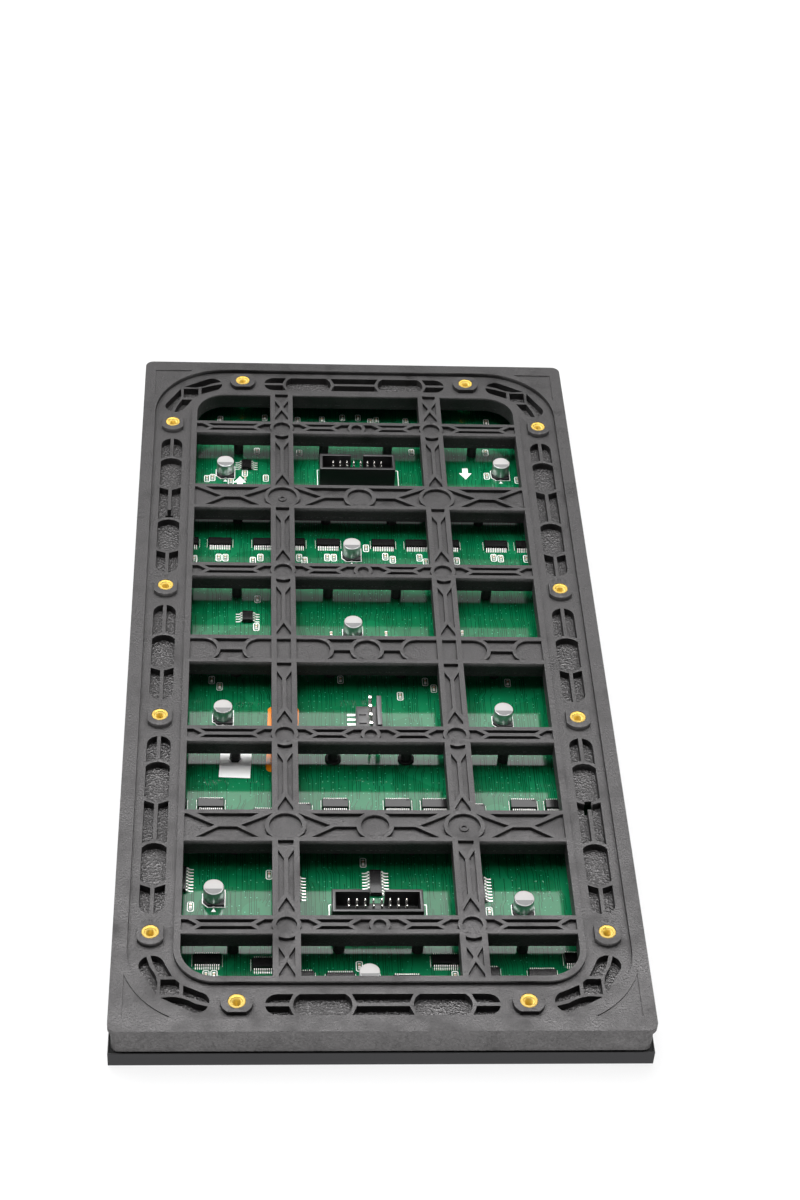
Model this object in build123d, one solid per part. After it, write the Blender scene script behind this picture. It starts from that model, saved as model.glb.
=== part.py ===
from build123d import *
import math
import os

# An outdoor LED display module that lies on its front: X across, Y along, Z towards the rear.
# The mask's front edge is at Z = 0 and the rear frame's outer face at Z = module_depth. Millimetres.

# Overall size
pixel_pitch = 4.0
pixels_across = 40
pixels_along = 80
module_gap = 0.2                                  # what neighbouring modules leave between them
module_width = pixel_pitch * pixels_across - module_gap
module_length = pixel_pitch * pixels_along - module_gap
module_depth = 15.8

# Front mask
mask_height = 5.5
mask_wall = 0.8
mask_plate = 2.1                                  # from the louvres' tips to the plate's rear
louvre_tip = 0.7
lamp_slot = 2.2                                   # width of a slot at the board
seal_step = 0.4                                   # width of the step in the rim for the seal
seal_step_depth = 1.2

# Circuit board and lamps
board_front_gap = 0.1                             # between the mask's plate and the board
board_thickness = 1.6
board_clearance = 0.15                            # between the board's edge and the mask's wall
lamp_size = 1.8
lamp_height = 1.2

# Small round stretches are drawn with edges that turn by about this angle, in degrees
facet_turn = 30.0

# Rear frame, overall
frame_inset = 0.1                                 # the flange stands this far inside the module's outline
flange_thickness = 2.2
flange_radius = 3.0
skirt_clearance = 0.1                             # between the skirt and the mask's wall
skirt_wall = 1.6
skirt_radius = 2.4
grid_thickness = 6.0

# Rear frame, grid of bars
frame_border = 20.3                               # from the module's outline to the windows
opening_half_x = module_width / 2 - frame_border
opening_half_y = module_length / 2 - frame_border
opening_radius = 10.5
window_rows = 8
bar_spacing = pixel_pitch * pixels_along / window_rows
upright_share = 0.175                             # the uprights' distance from the middle, of the width
upright_x = pixel_pitch * pixels_across * upright_share
upright_width = 8.4
thin_bar = 7.0
thick_bar = 13.0
bar_pocket_depth = 1.4
post_size = 3.4
post_sides = 6
post_offset = 16.0                                # from an upright's middle to a post
post_places_x = (upright_x - post_offset, upright_x + post_offset)

# Rear frame, ring round the grid
lip_width = 2.0
border_width = 4.5
ring_depth = 1.7
groove_width = 7.7
groove_depth = 2.8
groove_rib = 1.2
groove_wall = 1.3
bow_radius = 4.85                                 # bowed ends of the grooves
vent_width = 2.8                                  # two openings where a groove's middle rib ends
vent_left = (3.6, 7.8)                            # distances from the middle of the groove
vent_right = (5.7, 11.7)
corner_box_low_share = 0.5333                     # of the radius of the ring's middle line
corner_box_high_share = 0.8205
corner_arm_turn = 15.9                            # where a corner's arm ends, in degrees
corner_recess_depth = 0.4
corner_recess_inset = 4.0
corner_recess_gap = 2.2                           # between the ring and the recess

# Threaded inserts and the bosses that hold them
insert_inset_side = 11.3                          # from the module's outline
insert_inset_end = 11.1
insert_step_x = 6.4                               # from the centre of a corner's arcs
insert_step_y = 6.3
insert_middle_share = 0.79                        # of the bars' spacing
insert_radius = 2.6
insert_bore_radius = 1.6
insert_sides = 8
insert_clearance = 0.02
boss_radius = 4.75
boss_flat = 3.9
corner_x = opening_half_x - opening_radius        # centres of the arcs that round the frame's corners
corner_y = opening_half_y - opening_radius
insert_x_side = module_width / 2 - insert_inset_side
insert_x_end = corner_x - insert_step_x
insert_y_end = module_length / 2 - insert_inset_end
insert_y_corner = corner_y - insert_step_y
insert_y_middle = bar_spacing * insert_middle_share

# Grooves between the inserts, with the places of their plain pockets as shares of their half length
groove_gap = 8.2                                  # from an insert's centre to the groove's end
middle_groove_gap = 8.5
side_groove_y = (insert_y_corner + insert_y_middle) / 2
side_groove_half = (insert_y_corner - insert_y_middle) / 2 - groove_gap
side_groove_plain = (0.238 * side_groove_half, 0.69 * side_groove_half)
end_groove_half = insert_x_end - groove_gap
end_groove_plain = (0.261 * end_groove_half, 0.76 * end_groove_half)
middle_groove_half = insert_y_middle - middle_groove_gap
middle_groove_plain = 0.346 * middle_groove_half

# The parts on the board keep their share of its width and length
across_share = pixel_pitch * pixels_across / 160
along_share = pixel_pitch * pixels_along / 320

# Box headers, two rows of eight pins
header_length = 27.9
header_width = 8.9
header_height = 9.0
header_wall = 1.1
header_floor = 2.4
header_key = 4.5
header_places_y = (104.0 * along_share, -108.0 * along_share)
pin_pitch = 2.54
pin_size = 0.64
pin_length = 5.7
pins_per_row = 8

# Power connector, four blades
power_x = 0.1
power_y = -26.4 * along_share
power_width = 8.1
power_length = 15.8
power_base_height = 3.1
power_wall = 1.5
power_wall_length = 13.4
power_height = 9.4
power_pitch = 3.96
power_pin_size = 1.14
power_pin_x = 0.5
power_pin_length = 6.6
power_slot_width = 0.5
power_slot_length = 2.4
power_slot_depth = 1.0

# Electrolytic capacitors
can_radius = 3.15
can_height = 4.7
can_sides = 12
can_base = 6.6
can_base_height = 0.9
can_base_chamfer = 1.5
can_places = [
    (-48.8, 107.6), (54.1, 108.4), (-3.1, 61.6), (-3.8, 20.5), (-48.2, -21.2),
    (45.3, -21.8), (-50.1, -99.8), (45.5, -104.3), (-3.2, -132.8),
]

# Driver chips: body, and the foot of its two rows of leads
driver_length = 8.65
driver_width = 3.9
driver_height = 1.5
driver_rows = {
    "upper": [(-62.2, 67.3), (-50.3, 67.3), (-34.3, 67.3), (-23.9, 67.3), (-11.4, 67.3),
              (8.5, 67.3), (20.7, 67.3), (31.9, 67.3), (49.5, 67.3), (60.8, 67.3)],
    "middle": [(-63.6, -60.6), (-51.6, -60.6), (-33.7, -65.0), (-23.7, -62.8), (-11.7, -60.6),
               (8.4, -60.6), (20.4, -60.6), (32.3, -62.8), (49.2, -60.6), (60.5, -60.6)],
    "lower": [(-51.7, -124.3), (-34.0, -125.9), (-23.8, -131.0), (-11.7, -131.5), (8.4, -132.5),
              (20.3, -124.6), (32.2, -129.6), (49.4, -130.3), (60.8, -124.0)],
}

# Logic chips, with their long side along Y
logic_width = 3.9
logic_height = 1.6
wide_logic_length = 9.9
wide_logic_places = [(-60.6, -92.4), (-25.7, -96.0), (0.1, -93.9), (32.3, -96.2)]
small_logic_length = 4.9
small_logic_places = [(-41.0, 111.5), (-40.2, 27.8)]

# Small ceramic parts, with their long side along Y
chip_part_length = 1.6
chip_part_width = 0.8
chip_part_height = 0.6
chip_part_places = [
    (-49.5, -6.2), (11.4, -10.4), (23.0, -6.6), (-57.2, -103.0), (-33.0, -90.0), (-3.5, -85.0),
    (35.0, -105.0), (2.3, 65.5), (-41.6, 107.4), (-53.6, 104.6), (-37.2, 23.4), (6.3, 139.6),
]

# Labels
label_thickness = 0.1
white_label_size = (10.2, 12.4)
white_label_turn = -2.5
white_label_notch = (-post_places_x[1], -bar_spacing)        # a post passes through it here
white_label_place = (white_label_notch[0] + 0.1, white_label_notch[1] - 2.3)
white_label_clearance = 0.3
orange_label_size = (10.4, 30.0)
orange_label_place = (-28.4 * across_share, -31.0 * along_share)
orange_label_turn = -1.4
orange_label_radius = 1.6

# Heights that follow from the sizes above
board_front = mask_plate + board_front_gap
board_rear = board_front + board_thickness
grid_front = module_depth - grid_thickness
ring_floor = module_depth - ring_depth
groove_floor = ring_floor - groove_depth
skirt_half_x = module_width / 2 - mask_wall - skirt_clearance
skirt_half_y = module_length / 2 - mask_wall - skirt_clearance

# Radii about the centres of the frame's corners
ring_mid_radius = insert_x_side - corner_x
corner_box_low = ring_mid_radius * corner_box_low_share
corner_box_high = ring_mid_radius * corner_box_high_share
corner_recess_radius = module_width / 2 - frame_inset - border_width + corner_recess_gap - corner_x


def on_board(places):
    """Places given for a board of 160 by 320, moved to their share of this board."""
    return [(x * across_share, y * along_share) for x, y in places]


def block(low, high):
    """A box between two opposite corners."""
    size = [b - a for a, b in zip(low, high)]
    middle = [(a + b) / 2 for a, b in zip(low, high)]
    return Pos(*middle) * Box(*size)


def arc_points(centre, radius, start, end):
    """Points on an arc between two directions in degrees, both included."""
    steps = max(round(abs(end - start) / facet_turn), 1)
    turns = [math.radians(start + (end - start) * i / steps) for i in range(steps + 1)]
    return [(centre[0] + radius * math.cos(t), centre[1] + radius * math.sin(t)) for t in turns]


def disc(radius):
    """A round outline of a few edges."""
    return RegularPolygon(radius, max(round(360 / facet_turn), 8))


def outline_of(points):
    return Polygon(*points, align=None)


def rounded(half_x, half_y, radius):
    """A rectangle with small rounded corners, centred on the origin."""
    points = []
    for side_x, side_y, start in ((1, 1, 0), (-1, 1, 90), (-1, -1, 180), (1, -1, 270)):
        centre = (side_x * (half_x - radius), side_y * (half_y - radius))
        points += arc_points(centre, radius, start, start + 90)
    return outline_of(points)


def slab(half_x, half_y, radius, low, high):
    """An upright prism with rounded corners, centred on the origin."""
    return Pos(0, 0, low) * extrude(rounded(half_x, half_y, radius), high - low)


def sink(outlines, top, depth):
    """Prisms that reach down from a level, for cutting pockets."""
    return [Pos(0, 0, top) * extrude(outline, depth, dir=(0, 0, -1)) for outline in outlines]


def place_all(outlines, *places):
    """Copies of flat outlines at each of the places."""
    return [place * outline for place in places for outline in outlines]


def flipped(outlines):
    """Outlines turned to point the other way along X."""
    return [mirror(outline, Plane.YZ) for outline in outlines]


def four_ways(outlines):
    """Flat outlines of the +X +Y quarter, repeated in all four quarters."""
    right = outlines + [mirror(outline, Plane.XZ) for outline in outlines]
    return right + flipped(right)


def bow(centre, radius, side, low, high):
    """Points of a bowed end from one distance off the axis to another. It bulges towards the side."""
    first = math.degrees(math.asin(low / radius))
    last = math.degrees(math.asin(high / radius))
    return [(centre + side * x, y) for x, y in arc_points((0, 0), radius, first, last)]


def band_pocket(start, end, low, high):
    """A pocket along X between two bowed ends and between two distances off the axis."""
    return outline_of(bow(*end, low, high) + bow(*start, low, high)[::-1])


def ribbed_pocket(start, end):
    """The two halves of a pocket that a rib divides along its axis."""
    upper = band_pocket(start, end, groove_rib / 2, groove_width / 2)
    return [upper, mirror(upper, Plane.XZ)]


def plain_pocket(low, high):
    """A pocket without a rib, bowed outwards at both ends."""
    half = groove_width / 2
    return band_pocket((low + bow_radius, bow_radius, -1), (high - bow_radius, bow_radius, 1), -half, half)


def groove_tip(half_length, plain_high):
    """The ribbed pocket with a round end that follows a plain pocket."""
    half = groove_width / 2
    start = (plain_high - bow_radius, bow_radius + groove_wall, 1)
    return ribbed_pocket(start, (half_length - half, half, 1))


def long_groove(half_length, plain):
    """Five pockets between two bosses: ribbed at the ends and the middle, plain between."""
    outer = bow_radius + groove_wall
    inner_end = plain[0] + bow_radius
    side = groove_tip(half_length, plain[1]) + [plain_pocket(*plain)]
    middle = ribbed_pocket((-inner_end, outer, 1), (inner_end, outer, -1))
    return middle + side + flipped(side)


def short_groove(half_length, plain_high):
    """Three pockets between the two middle bosses: plain at the middle, ribbed at the ends."""
    tip = groove_tip(half_length, plain_high)
    return [plain_pocket(-plain_high, plain_high)] + tip + flipped(tip)


def corner_pockets():
    """Pockets round one corner of the ring, as seen from the centre of the corner's arcs."""
    half = groove_width / 2
    inner = ring_mid_radius - half
    outer = ring_mid_radius + half
    near_rib = ring_mid_radius - groove_rib / 2
    far_rib = ring_mid_radius + groove_rib / 2
    cut = math.sqrt(inner ** 2 - corner_box_low ** 2)
    box = outline_of([
        (corner_box_low, cut), (corner_box_low, corner_box_high), (corner_box_high, corner_box_high),
        (corner_box_high, corner_box_low), (cut, corner_box_low),
    ])
    turn = math.radians(corner_arm_turn)
    end = (ring_mid_radius * math.cos(turn), ring_mid_radius * math.sin(turn))
    wall = groove_wall * 0.85
    stop = corner_box_low - wall
    side_stop = corner_box_high + wall
    rib_turn = math.degrees(math.asin(groove_rib / groove_width))

    def turn_of(height, radius):
        return math.degrees(math.asin(height / radius))

    inner_arm = arc_points(end, half, corner_arm_turn - 90 - rib_turn, corner_arm_turn - 180)
    inner_arm += arc_points((0, 0), inner, corner_arm_turn, turn_of(stop, inner))
    inner_arm += arc_points((0, 0), near_rib, turn_of(stop, near_rib), corner_arm_turn)
    outer_arm = arc_points(end, half, corner_arm_turn - 90 + rib_turn, corner_arm_turn)
    outer_arm += arc_points((0, 0), outer, corner_arm_turn, 90 - turn_of(side_stop, outer))[1:]
    outer_arm += arc_points((0, 0), far_rib, 90 - turn_of(side_stop, far_rib), corner_arm_turn)
    across = Plane((0, 0, 0), x_dir=(1, 1, 0), z_dir=(-1, 1, 0))
    arms = [outline_of(inner_arm), outline_of(outer_arm)]
    return [box] + arms + [mirror(outline, across) for outline in arms]


def ring_pockets():
    """All pockets in the floor of the ring."""
    side = long_groove(side_groove_half, side_groove_plain)
    side_middle = short_groove(middle_groove_half, middle_groove_plain)
    end_row = long_groove(end_groove_half, end_groove_plain)
    pockets = []
    for x in (-insert_x_side, insert_x_side):
        for y in (-side_groove_y, side_groove_y):
            pockets += place_all(side, Pos(x, y) * Rot(0, 0, 90))
        pockets += place_all(side_middle, Pos(x, 0) * Rot(0, 0, 90))
    for y in (-insert_y_end, insert_y_end):
        pockets += place_all(end_row, Pos(0, y))
    return pockets + four_ways(place_all(corner_pockets(), Pos(corner_x, corner_y)))


def boss_outline():
    """A round boss with two flats, which run along X."""
    turn = math.degrees(math.asin(boss_flat / boss_radius))
    right = arc_points((0, 0), boss_radius, -turn, turn)
    return outline_of(right + [(-x, -y) for x, y in right])


def insert_places():
    """The twelve inserts: x, y and the direction of the boss's flats."""
    places = []
    for sx in (-1, 1):
        for y in (-insert_y_corner, -insert_y_middle, insert_y_middle, insert_y_corner):
            places.append((sx * insert_x_side, y, 90))
        for sy in (-1, 1):
            places.append((sx * insert_x_end, sy * insert_y_end, 0))
    return places


def bar_rows():
    """Centre and width of each bar across the grid."""
    rows = []
    for step in range(-3, 4):
        rows.append((step * bar_spacing, thick_bar if step % 2 == 0 else thin_bar))
    return rows


def windows():
    """The openings between the bars."""
    half_upright = upright_width / 2
    columns = [
        (-opening_half_x, -upright_x - half_upright),
        (-upright_x + half_upright, upright_x - half_upright),
        (upright_x + half_upright, opening_half_x),
    ]
    edges = [-opening_half_y]
    for y, width in bar_rows():
        edges += [y - width / 2, y + width / 2]
    edges.append(opening_half_y)
    rows = list(zip(edges[0::2], edges[1::2]))
    shapes = []
    for x0, x1 in columns:
        for y0, y1 in rows:
            shapes.append(Pos((x0 + x1) / 2, (y0 + y1) / 2) * Rectangle(x1 - x0, y1 - y0))
    outline = RectangleRounded(2 * opening_half_x, 2 * opening_half_y, opening_radius)
    return [shape & outline for shape in shapes]


def arrow_pocket(ring, half, straight, tip):
    """A pocket that points along +X. Its blunt end lies on X = 0, or follows a ring round the origin."""
    if ring is None:
        back = [(0, -half), (0, half)]
    else:
        back = bow(0, ring, 1, -half, half)
    return outline_of(back + [(straight, half), (tip, 0), (straight, -half)])


def thin_bar_pockets():
    """Pockets of a thin bar from its middle to its end at +X."""
    half = 2.0
    rib = 0.65
    point = 2.8
    brace = 2.1                                   # a slanting rib, measured along the bar
    middle_ring = 3.2
    cross_ring = 4.4
    middle_straight = 5.6
    cross_straight = 6.6
    end_straight = 2.0

    def flutes(low, high):
        """The two long pockets between the points of two arrows."""
        slant = point * (half - rib) / half
        start = low + brace
        end = high - brace
        upper = outline_of([(start, half), (end, half), (end - slant, rib), (start + slant, rib)])
        return [upper, mirror(upper, Plane.XZ)]

    arrow_middle = arrow_pocket(middle_ring, half, middle_straight, middle_straight + point)
    arrow_cross = arrow_pocket(cross_ring, half, cross_straight, cross_straight + point)
    arrow_end = arrow_pocket(None, half, end_straight, end_straight + point)
    outlines = [arrow_middle]
    outlines += place_all(flipped([arrow_cross]), Pos(upright_x, 0))
    outlines += flutes(middle_straight, upright_x - cross_straight)
    outlines += place_all([arrow_cross], Pos(upright_x, 0))
    outlines += flutes(upright_x + cross_straight, opening_half_x - end_straight)
    outlines += place_all(flipped([arrow_end]), Pos(opening_half_x, 0))
    outlines.append(Pos(upright_x, 0) * disc(3.1))
    return outlines


def thick_bar_pockets():
    """Pockets of a trussed thick bar from its middle to its end at +X."""
    half = 5.0
    rib = 0.55
    middle_ring = 5.9
    cross_ring = 6.4

    def trapezoid(low, low_inner, high_inner, high):
        """Upper pocket between two slanting ribs, and its mirror image below."""
        upper = outline_of([(low, half), (high, half), (high_inner, rib), (low_inner, rib)])
        return [upper, mirror(upper, Plane.XZ)]

    middle_upper = outline_of(bow(0, middle_ring, 1, rib, half) + [(20.0, half), (12.7, rib)])
    arrow_cross = arrow_pocket(cross_ring, half, 4.2, 14.0)
    arrow_end = arrow_pocket(None, half, 0.8, 9.5)
    outlines = [middle_upper, mirror(middle_upper, Plane.XZ)]
    outlines += place_all(flipped([arrow_cross]) + [arrow_cross], Pos(upright_x, 0))
    outlines += trapezoid(36.3, 43.2, 48.9, 55.8)
    outlines += place_all(flipped([arrow_end]), Pos(opening_half_x, 0))
    outlines.append(Pos(upright_x, 0) * disc(5.1))
    return outlines


def centre_bar_pockets():
    """Pockets of the bar through the middle, from its middle to its end at +X."""
    half = bow_radius
    outer = bow_radius + groove_wall
    middle_ring = 5.8
    rib = 0.5
    upright_half = upright_width / 2

    def bowed(flat_x, peak):
        """A pocket with one flat end and one round end."""
        side = 1 if peak > flat_x else -1
        round_end = bow(peak - side * half, half, side, -half, half)
        return outline_of([(flat_x, half), (flat_x, -half)] + round_end)

    def saddle(start, end):
        """Upper pocket between two round ends, and its mirror image below."""
        upper = band_pocket(start, end, rib, half)
        return [upper, mirror(upper, Plane.XZ)]

    first_peak = 12.4
    second_peak = 40.7
    third_peak = 50.6
    outlines = [
        bowed(upright_x - upright_half, first_peak),
        bowed(upright_x + upright_half, second_peak),
        bowed(opening_half_x, third_peak),
        Pos(upright_x, 0) * Rectangle(4.8, 2 * half),
    ]
    outlines += saddle((0, middle_ring, 1), (first_peak + bow_radius, outer, -1))
    outlines += saddle((second_peak - bow_radius, outer, 1), (third_peak + bow_radius, outer, -1))
    return outlines


def upright_pockets(low, high, low_ring, high_ring):
    """Pockets of an upright between two bars, along X: bases at low and high, rounded by rings."""
    half = 2.45
    rib = 0.65
    shoulder = 1.3
    apex = 6.0
    flank = 4.0
    slope = (apex - shoulder) / half

    def shield(ring):
        """From a base towards +X, with its blunt end flat or round a ring."""
        back = 0 if ring is None else math.sqrt(ring ** 2 - half ** 2)
        return Pos(-back, 0) * arrow_pocket(ring, half, back + shoulder, back + apex)

    rise = (half - rib) * slope
    side = outline_of([
        (low + flank, half), (high - flank, half), (high - flank - rise, rib), (low + flank + rise, rib),
    ])
    shields = [Pos(low, 0) * shield(low_ring), Pos(high, 0) * mirror(shield(high_ring), Plane.YZ)]
    return [side, mirror(side, Plane.XZ)] + shields


def bar_pockets():
    """All the shallow pockets on the rear of the grid."""
    thin = thin_bar_pockets()
    thick = thick_bar_pockets()
    middle = centre_bar_pockets()
    thin_base = 4.6
    thick_base = 6.2
    middle_base = 6.8
    thin_ring = 5.2
    thick_ring = 6.6
    end_base = opening_half_y + 0.6
    outlines = place_all(middle + flipped(middle), Pos(0, 0))
    outlines.append(disc(4.4))
    for y, width in bar_rows():
        if y == 0:
            continue
        pattern = thin if width == thin_bar else thick
        outlines += place_all(pattern + flipped(pattern), Pos(0, y))
        outlines.append(Pos(0, y) * disc(1.95 if width == thin_bar else 4.4))
    spans = upright_pockets(middle_base, bar_spacing - thin_base, None, thin_ring)
    spans += upright_pockets(bar_spacing + thin_base, 2 * bar_spacing - thick_base, thin_ring, thick_ring)
    spans += upright_pockets(2 * bar_spacing + thick_base, 3 * bar_spacing - thin_base, thick_ring, thin_ring)
    spans += upright_pockets(3 * bar_spacing + thin_base, end_base, thin_ring, None)
    return outlines + four_ways(place_all(spans, Pos(upright_x, 0) * Rot(0, 0, 90)))


def corner_recesses():
    """Shallow triangular recesses outside the ring's rounded corners."""
    reach_x = module_width / 2 - frame_inset - corner_recess_inset - corner_x
    reach_y = module_length / 2 - frame_inset - corner_recess_inset - 1.3 - corner_y
    radius = corner_recess_radius
    side = (reach_x, math.sqrt(radius ** 2 - reach_x ** 2))
    end = (math.sqrt(radius ** 2 - reach_y ** 2), reach_y)
    middle = ((side[0] + end[0]) / 2, (side[1] + end[1]) / 2)
    scale = radius / math.hypot(*middle)
    edges = [
        Line(side, (reach_x, reach_y)),
        Line((reach_x, reach_y), end),
        ThreePointArc(end, (middle[0] * scale, middle[1] * scale), side),
    ]
    return four_ways(place_all([make_face(edges)], Pos(corner_x, corner_y)))


def make_rear_frame():
    """The moulded frame: flange, skirt, grid of bars, ring with its pockets, bosses and posts."""
    flange_x = module_width / 2 - frame_inset
    flange_y = module_length / 2 - frame_inset
    flange = RectangleRounded(2 * flange_x, 2 * flange_y, flange_radius)
    body = Pos(0, 0, module_depth - flange_thickness) * extrude(flange, flange_thickness)
    body += slab(skirt_half_x, skirt_half_y, skirt_radius, grid_front, module_depth - flange_thickness)
    skirt = slab(skirt_half_x, skirt_half_y, skirt_radius, board_rear, grid_front)
    hollow_radius = skirt_radius - skirt_wall
    skirt -= slab(skirt_half_x - skirt_wall, skirt_half_y - skirt_wall, hollow_radius, board_rear, grid_front)
    body += skirt

    ring_x = flange_x - border_width
    ring_y = flange_y - border_width
    ring = RectangleRounded(2 * ring_x, 2 * ring_y, ring_x - corner_x)
    lip_x = opening_half_x + lip_width
    lip_y = opening_half_y + lip_width
    ring -= RectangleRounded(2 * lip_x, 2 * lip_y, lip_x - corner_x)
    boss = boss_outline()
    ring -= [Pos(x, y) * Rot(0, 0, turn) * boss for x, y, turn in insert_places()]

    hole = RegularPolygon(insert_radius + insert_clearance, insert_sides)
    holes = [Pos(x, y) * hole for x, y, turn in insert_places()]
    vents = []
    for side, span in ((-1, vent_left), (1, vent_right)):
        vent = Rectangle(vent_width, span[1] - span[0])
        vents.append(Pos(side * insert_x_side, side * (sum(span) / 2 - side_groove_y)) * vent)
    tools = sink([ring], module_depth, ring_depth)
    tools += sink(ring_pockets(), ring_floor, groove_depth)
    tools += sink(windows() + holes, module_depth, grid_thickness)
    tools += sink(vents, ring_floor, grid_thickness - ring_depth)
    tools += sink(bar_pockets(), module_depth, bar_pocket_depth)
    tools += sink(corner_recesses(), module_depth, corner_recess_depth)
    body -= tools

    post = extrude(RegularPolygon(post_size / 2, post_sides), grid_front - board_rear)
    posts = []
    for y, width in bar_rows():
        for x in post_places_x:
            posts += [Pos(x, y, board_rear) * post, Pos(-x, y, board_rear) * post]
    return body + posts


def make_front_mask():
    """A tray with a slot over each line of lamps. The bars between the slots taper to louvres."""
    half_x = module_width / 2
    half_y = module_length / 2
    inner_x = half_x - mask_wall
    inner_y = half_y - mask_wall
    tray = block((-half_x, -half_y, 0), (half_x, half_y, mask_height))
    tools = [block((-inner_x, -inner_y, mask_plate), (inner_x, inner_y, mask_height))]
    step_x = inner_x + seal_step
    step_y = inner_y + seal_step
    tools.append(block((-step_x, -step_y, mask_height - seal_step_depth), (step_x, step_y, mask_height)))
    wide_half = (pixel_pitch - louvre_tip) / 2
    narrow_half = lamp_slot / 2
    for x in lamp_lines():
        front_low = max(x - wide_half, -inner_x)
        front_high = min(x + wide_half, inner_x)
        rear = [(x + narrow_half, mask_plate), (x - narrow_half, mask_plate)]
        profile = outline_of([(front_low, 0), (front_high, 0)] + rear)
        tools.append(extrude(Plane.XZ * profile, inner_y, both=True))
    return tray - tools


def lamp_lines():
    """X of each line of lamps."""
    first = -pixel_pitch * (pixels_across - 1) / 2
    return [first + pixel_pitch * i for i in range(pixels_across)]


def make_lamp_rows():
    """Each line of lamps as one strip on the board's front."""
    half_x = lamp_size / 2
    half_y = pixel_pitch * (pixels_along - 1) / 2 + lamp_size / 2
    strip = block((-half_x, -half_y, board_front - lamp_height), (half_x, half_y, board_front))
    return Compound(children=[Pos(x, 0, 0) * strip for x in lamp_lines()])


def make_circuit_board():
    half_x = module_width / 2 - mask_wall - board_clearance
    half_y = module_length / 2 - mask_wall - board_clearance
    return block((-half_x, -half_y, board_front), (half_x, half_y, board_rear))


def make_rim_seal():
    """The rubber bead in the step between the mask's rim and the frame's skirt."""
    clear = 0.03
    bead_height = 0.8
    low = mask_height - seal_step_depth
    outer_x = module_width / 2 - mask_wall + seal_step - clear
    outer_y = module_length / 2 - mask_wall + seal_step - clear
    bead = block((-outer_x, -outer_y, low), (outer_x, outer_y, low + bead_height))
    return bead - slab(skirt_half_x + clear, skirt_half_y + clear, skirt_radius, low, low + bead_height)


def make_inserts():
    """Threaded brass inserts, flush with the bosses and with the front of the grid."""
    sleeve = extrude(RegularPolygon(insert_radius, insert_sides) - Circle(insert_bore_radius), grid_thickness)
    return Compound(children=[Pos(x, y, grid_front) * sleeve for x, y, turn in insert_places()])


def make_header_housing(y):
    """A box header: open towards the rear, with a key slot in its wall at +Y."""
    half_x = header_length / 2
    half_y = header_width / 2
    top = board_rear + header_height
    floor = board_rear + header_floor
    shell = block((-half_x, y - half_y, board_rear), (half_x, y + half_y, top))
    cavity_low = (header_wall - half_x, y - half_y + header_wall, floor)
    cavity_high = (half_x - header_wall, y + half_y - header_wall, top)
    key = block((-header_key / 2, y, floor), (header_key / 2, y + half_y, top))
    return shell - [block(cavity_low, cavity_high), key]


def make_header_pins(y):
    """The square pins of a box header, standing on its floor."""
    low = board_rear + header_floor
    pins = []
    for column in range(pins_per_row):
        x = (column - (pins_per_row - 1) / 2) * pin_pitch
        for side in (-1, 1):
            centre = y + side * pin_pitch / 2
            corner = pin_size / 2
            pin_high = (x + corner, centre + corner, low + pin_length)
            pins.append(block((x - corner, centre - corner, low), pin_high))
    return Compound(children=pins)


def make_power_housing():
    """The power connector: a low base and a tall locking wall beside the blades."""
    half_y = power_length / 2
    low_x = power_x - power_width / 2
    high_x = power_x + power_width / 2
    base_top = board_rear + power_base_height
    base = block((low_x, power_y - half_y, board_rear), (high_x, power_y + half_y, base_top))
    wall_half = power_wall_length / 2
    wall_top = board_rear + power_height
    wall_low = (high_x - power_wall, power_y - wall_half, base_top)
    wall = block(wall_low, (high_x, power_y + wall_half, wall_top))
    slots = []
    for step in (-1, 0, 1):
        y = power_y + step * power_pitch
        corner = power_slot_width / 2
        slot_low = (low_x + power_slot_depth, y - corner, base_top - power_slot_depth)
        slot_high = (low_x + power_slot_depth + power_slot_length, y + corner, base_top)
        slots.append(block(slot_low, slot_high))
    return base + wall - slots


def make_power_pins():
    low = board_rear + power_base_height
    corner = power_pin_size / 2
    pins = []
    for step in (-1.5, -0.5, 0.5, 1.5):
        y = power_y + step * power_pitch
        pin_high = (power_pin_x + corner, y + corner, low + power_pin_length)
        pins.append(block((power_pin_x - corner, y - corner, low), pin_high))
    return Compound(children=pins)


def make_can_bases():
    half = can_base / 2
    cut = half - can_base_chamfer
    cut_side = [(-cut, half), (-half, cut), (-half, -cut), (-cut, -half)]
    outline = outline_of(cut_side + [(half, -half), (half, half)])
    base = extrude(outline, can_base_height)
    return Compound(children=[Pos(x, y, board_rear) * base for x, y in on_board(can_places)])


def make_cans():
    can = extrude(RegularPolygon(can_radius, can_sides), can_height)
    return Compound(children=[Pos(x, y, board_rear + can_base_height) * can for x, y in on_board(can_places)])


def make_chips(places, size_x, size_y, height):
    """Chip bodies on the board's rear."""
    chips = []
    for x, y in on_board(places):
        low = (x - size_x / 2, y - size_y / 2, board_rear)
        high = (x + size_x / 2, y + size_y / 2, board_rear + height)
        chips.append(block(low, high))
    return Compound(children=chips)


def make_label(outline, place, turn):
    """A flat label stuck on the board's rear."""
    return Pos(*place, board_rear) * Rot(0, 0, turn) * extrude(outline, label_thickness)


def make_orange_label():
    width, length = orange_label_size
    outline = rounded(width / 2, length / 2, orange_label_radius)
    return make_label(outline, orange_label_place, orange_label_turn)


def make_white_label():
    """A square label with a hole round the post that stands in it."""
    label = make_label(Rectangle(*white_label_size), white_label_place, white_label_turn)
    hole = RegularPolygon(post_size / 2 + white_label_clearance, post_sides)
    return label - Pos(*white_label_notch, board_rear) * extrude(hole, label_thickness)


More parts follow.
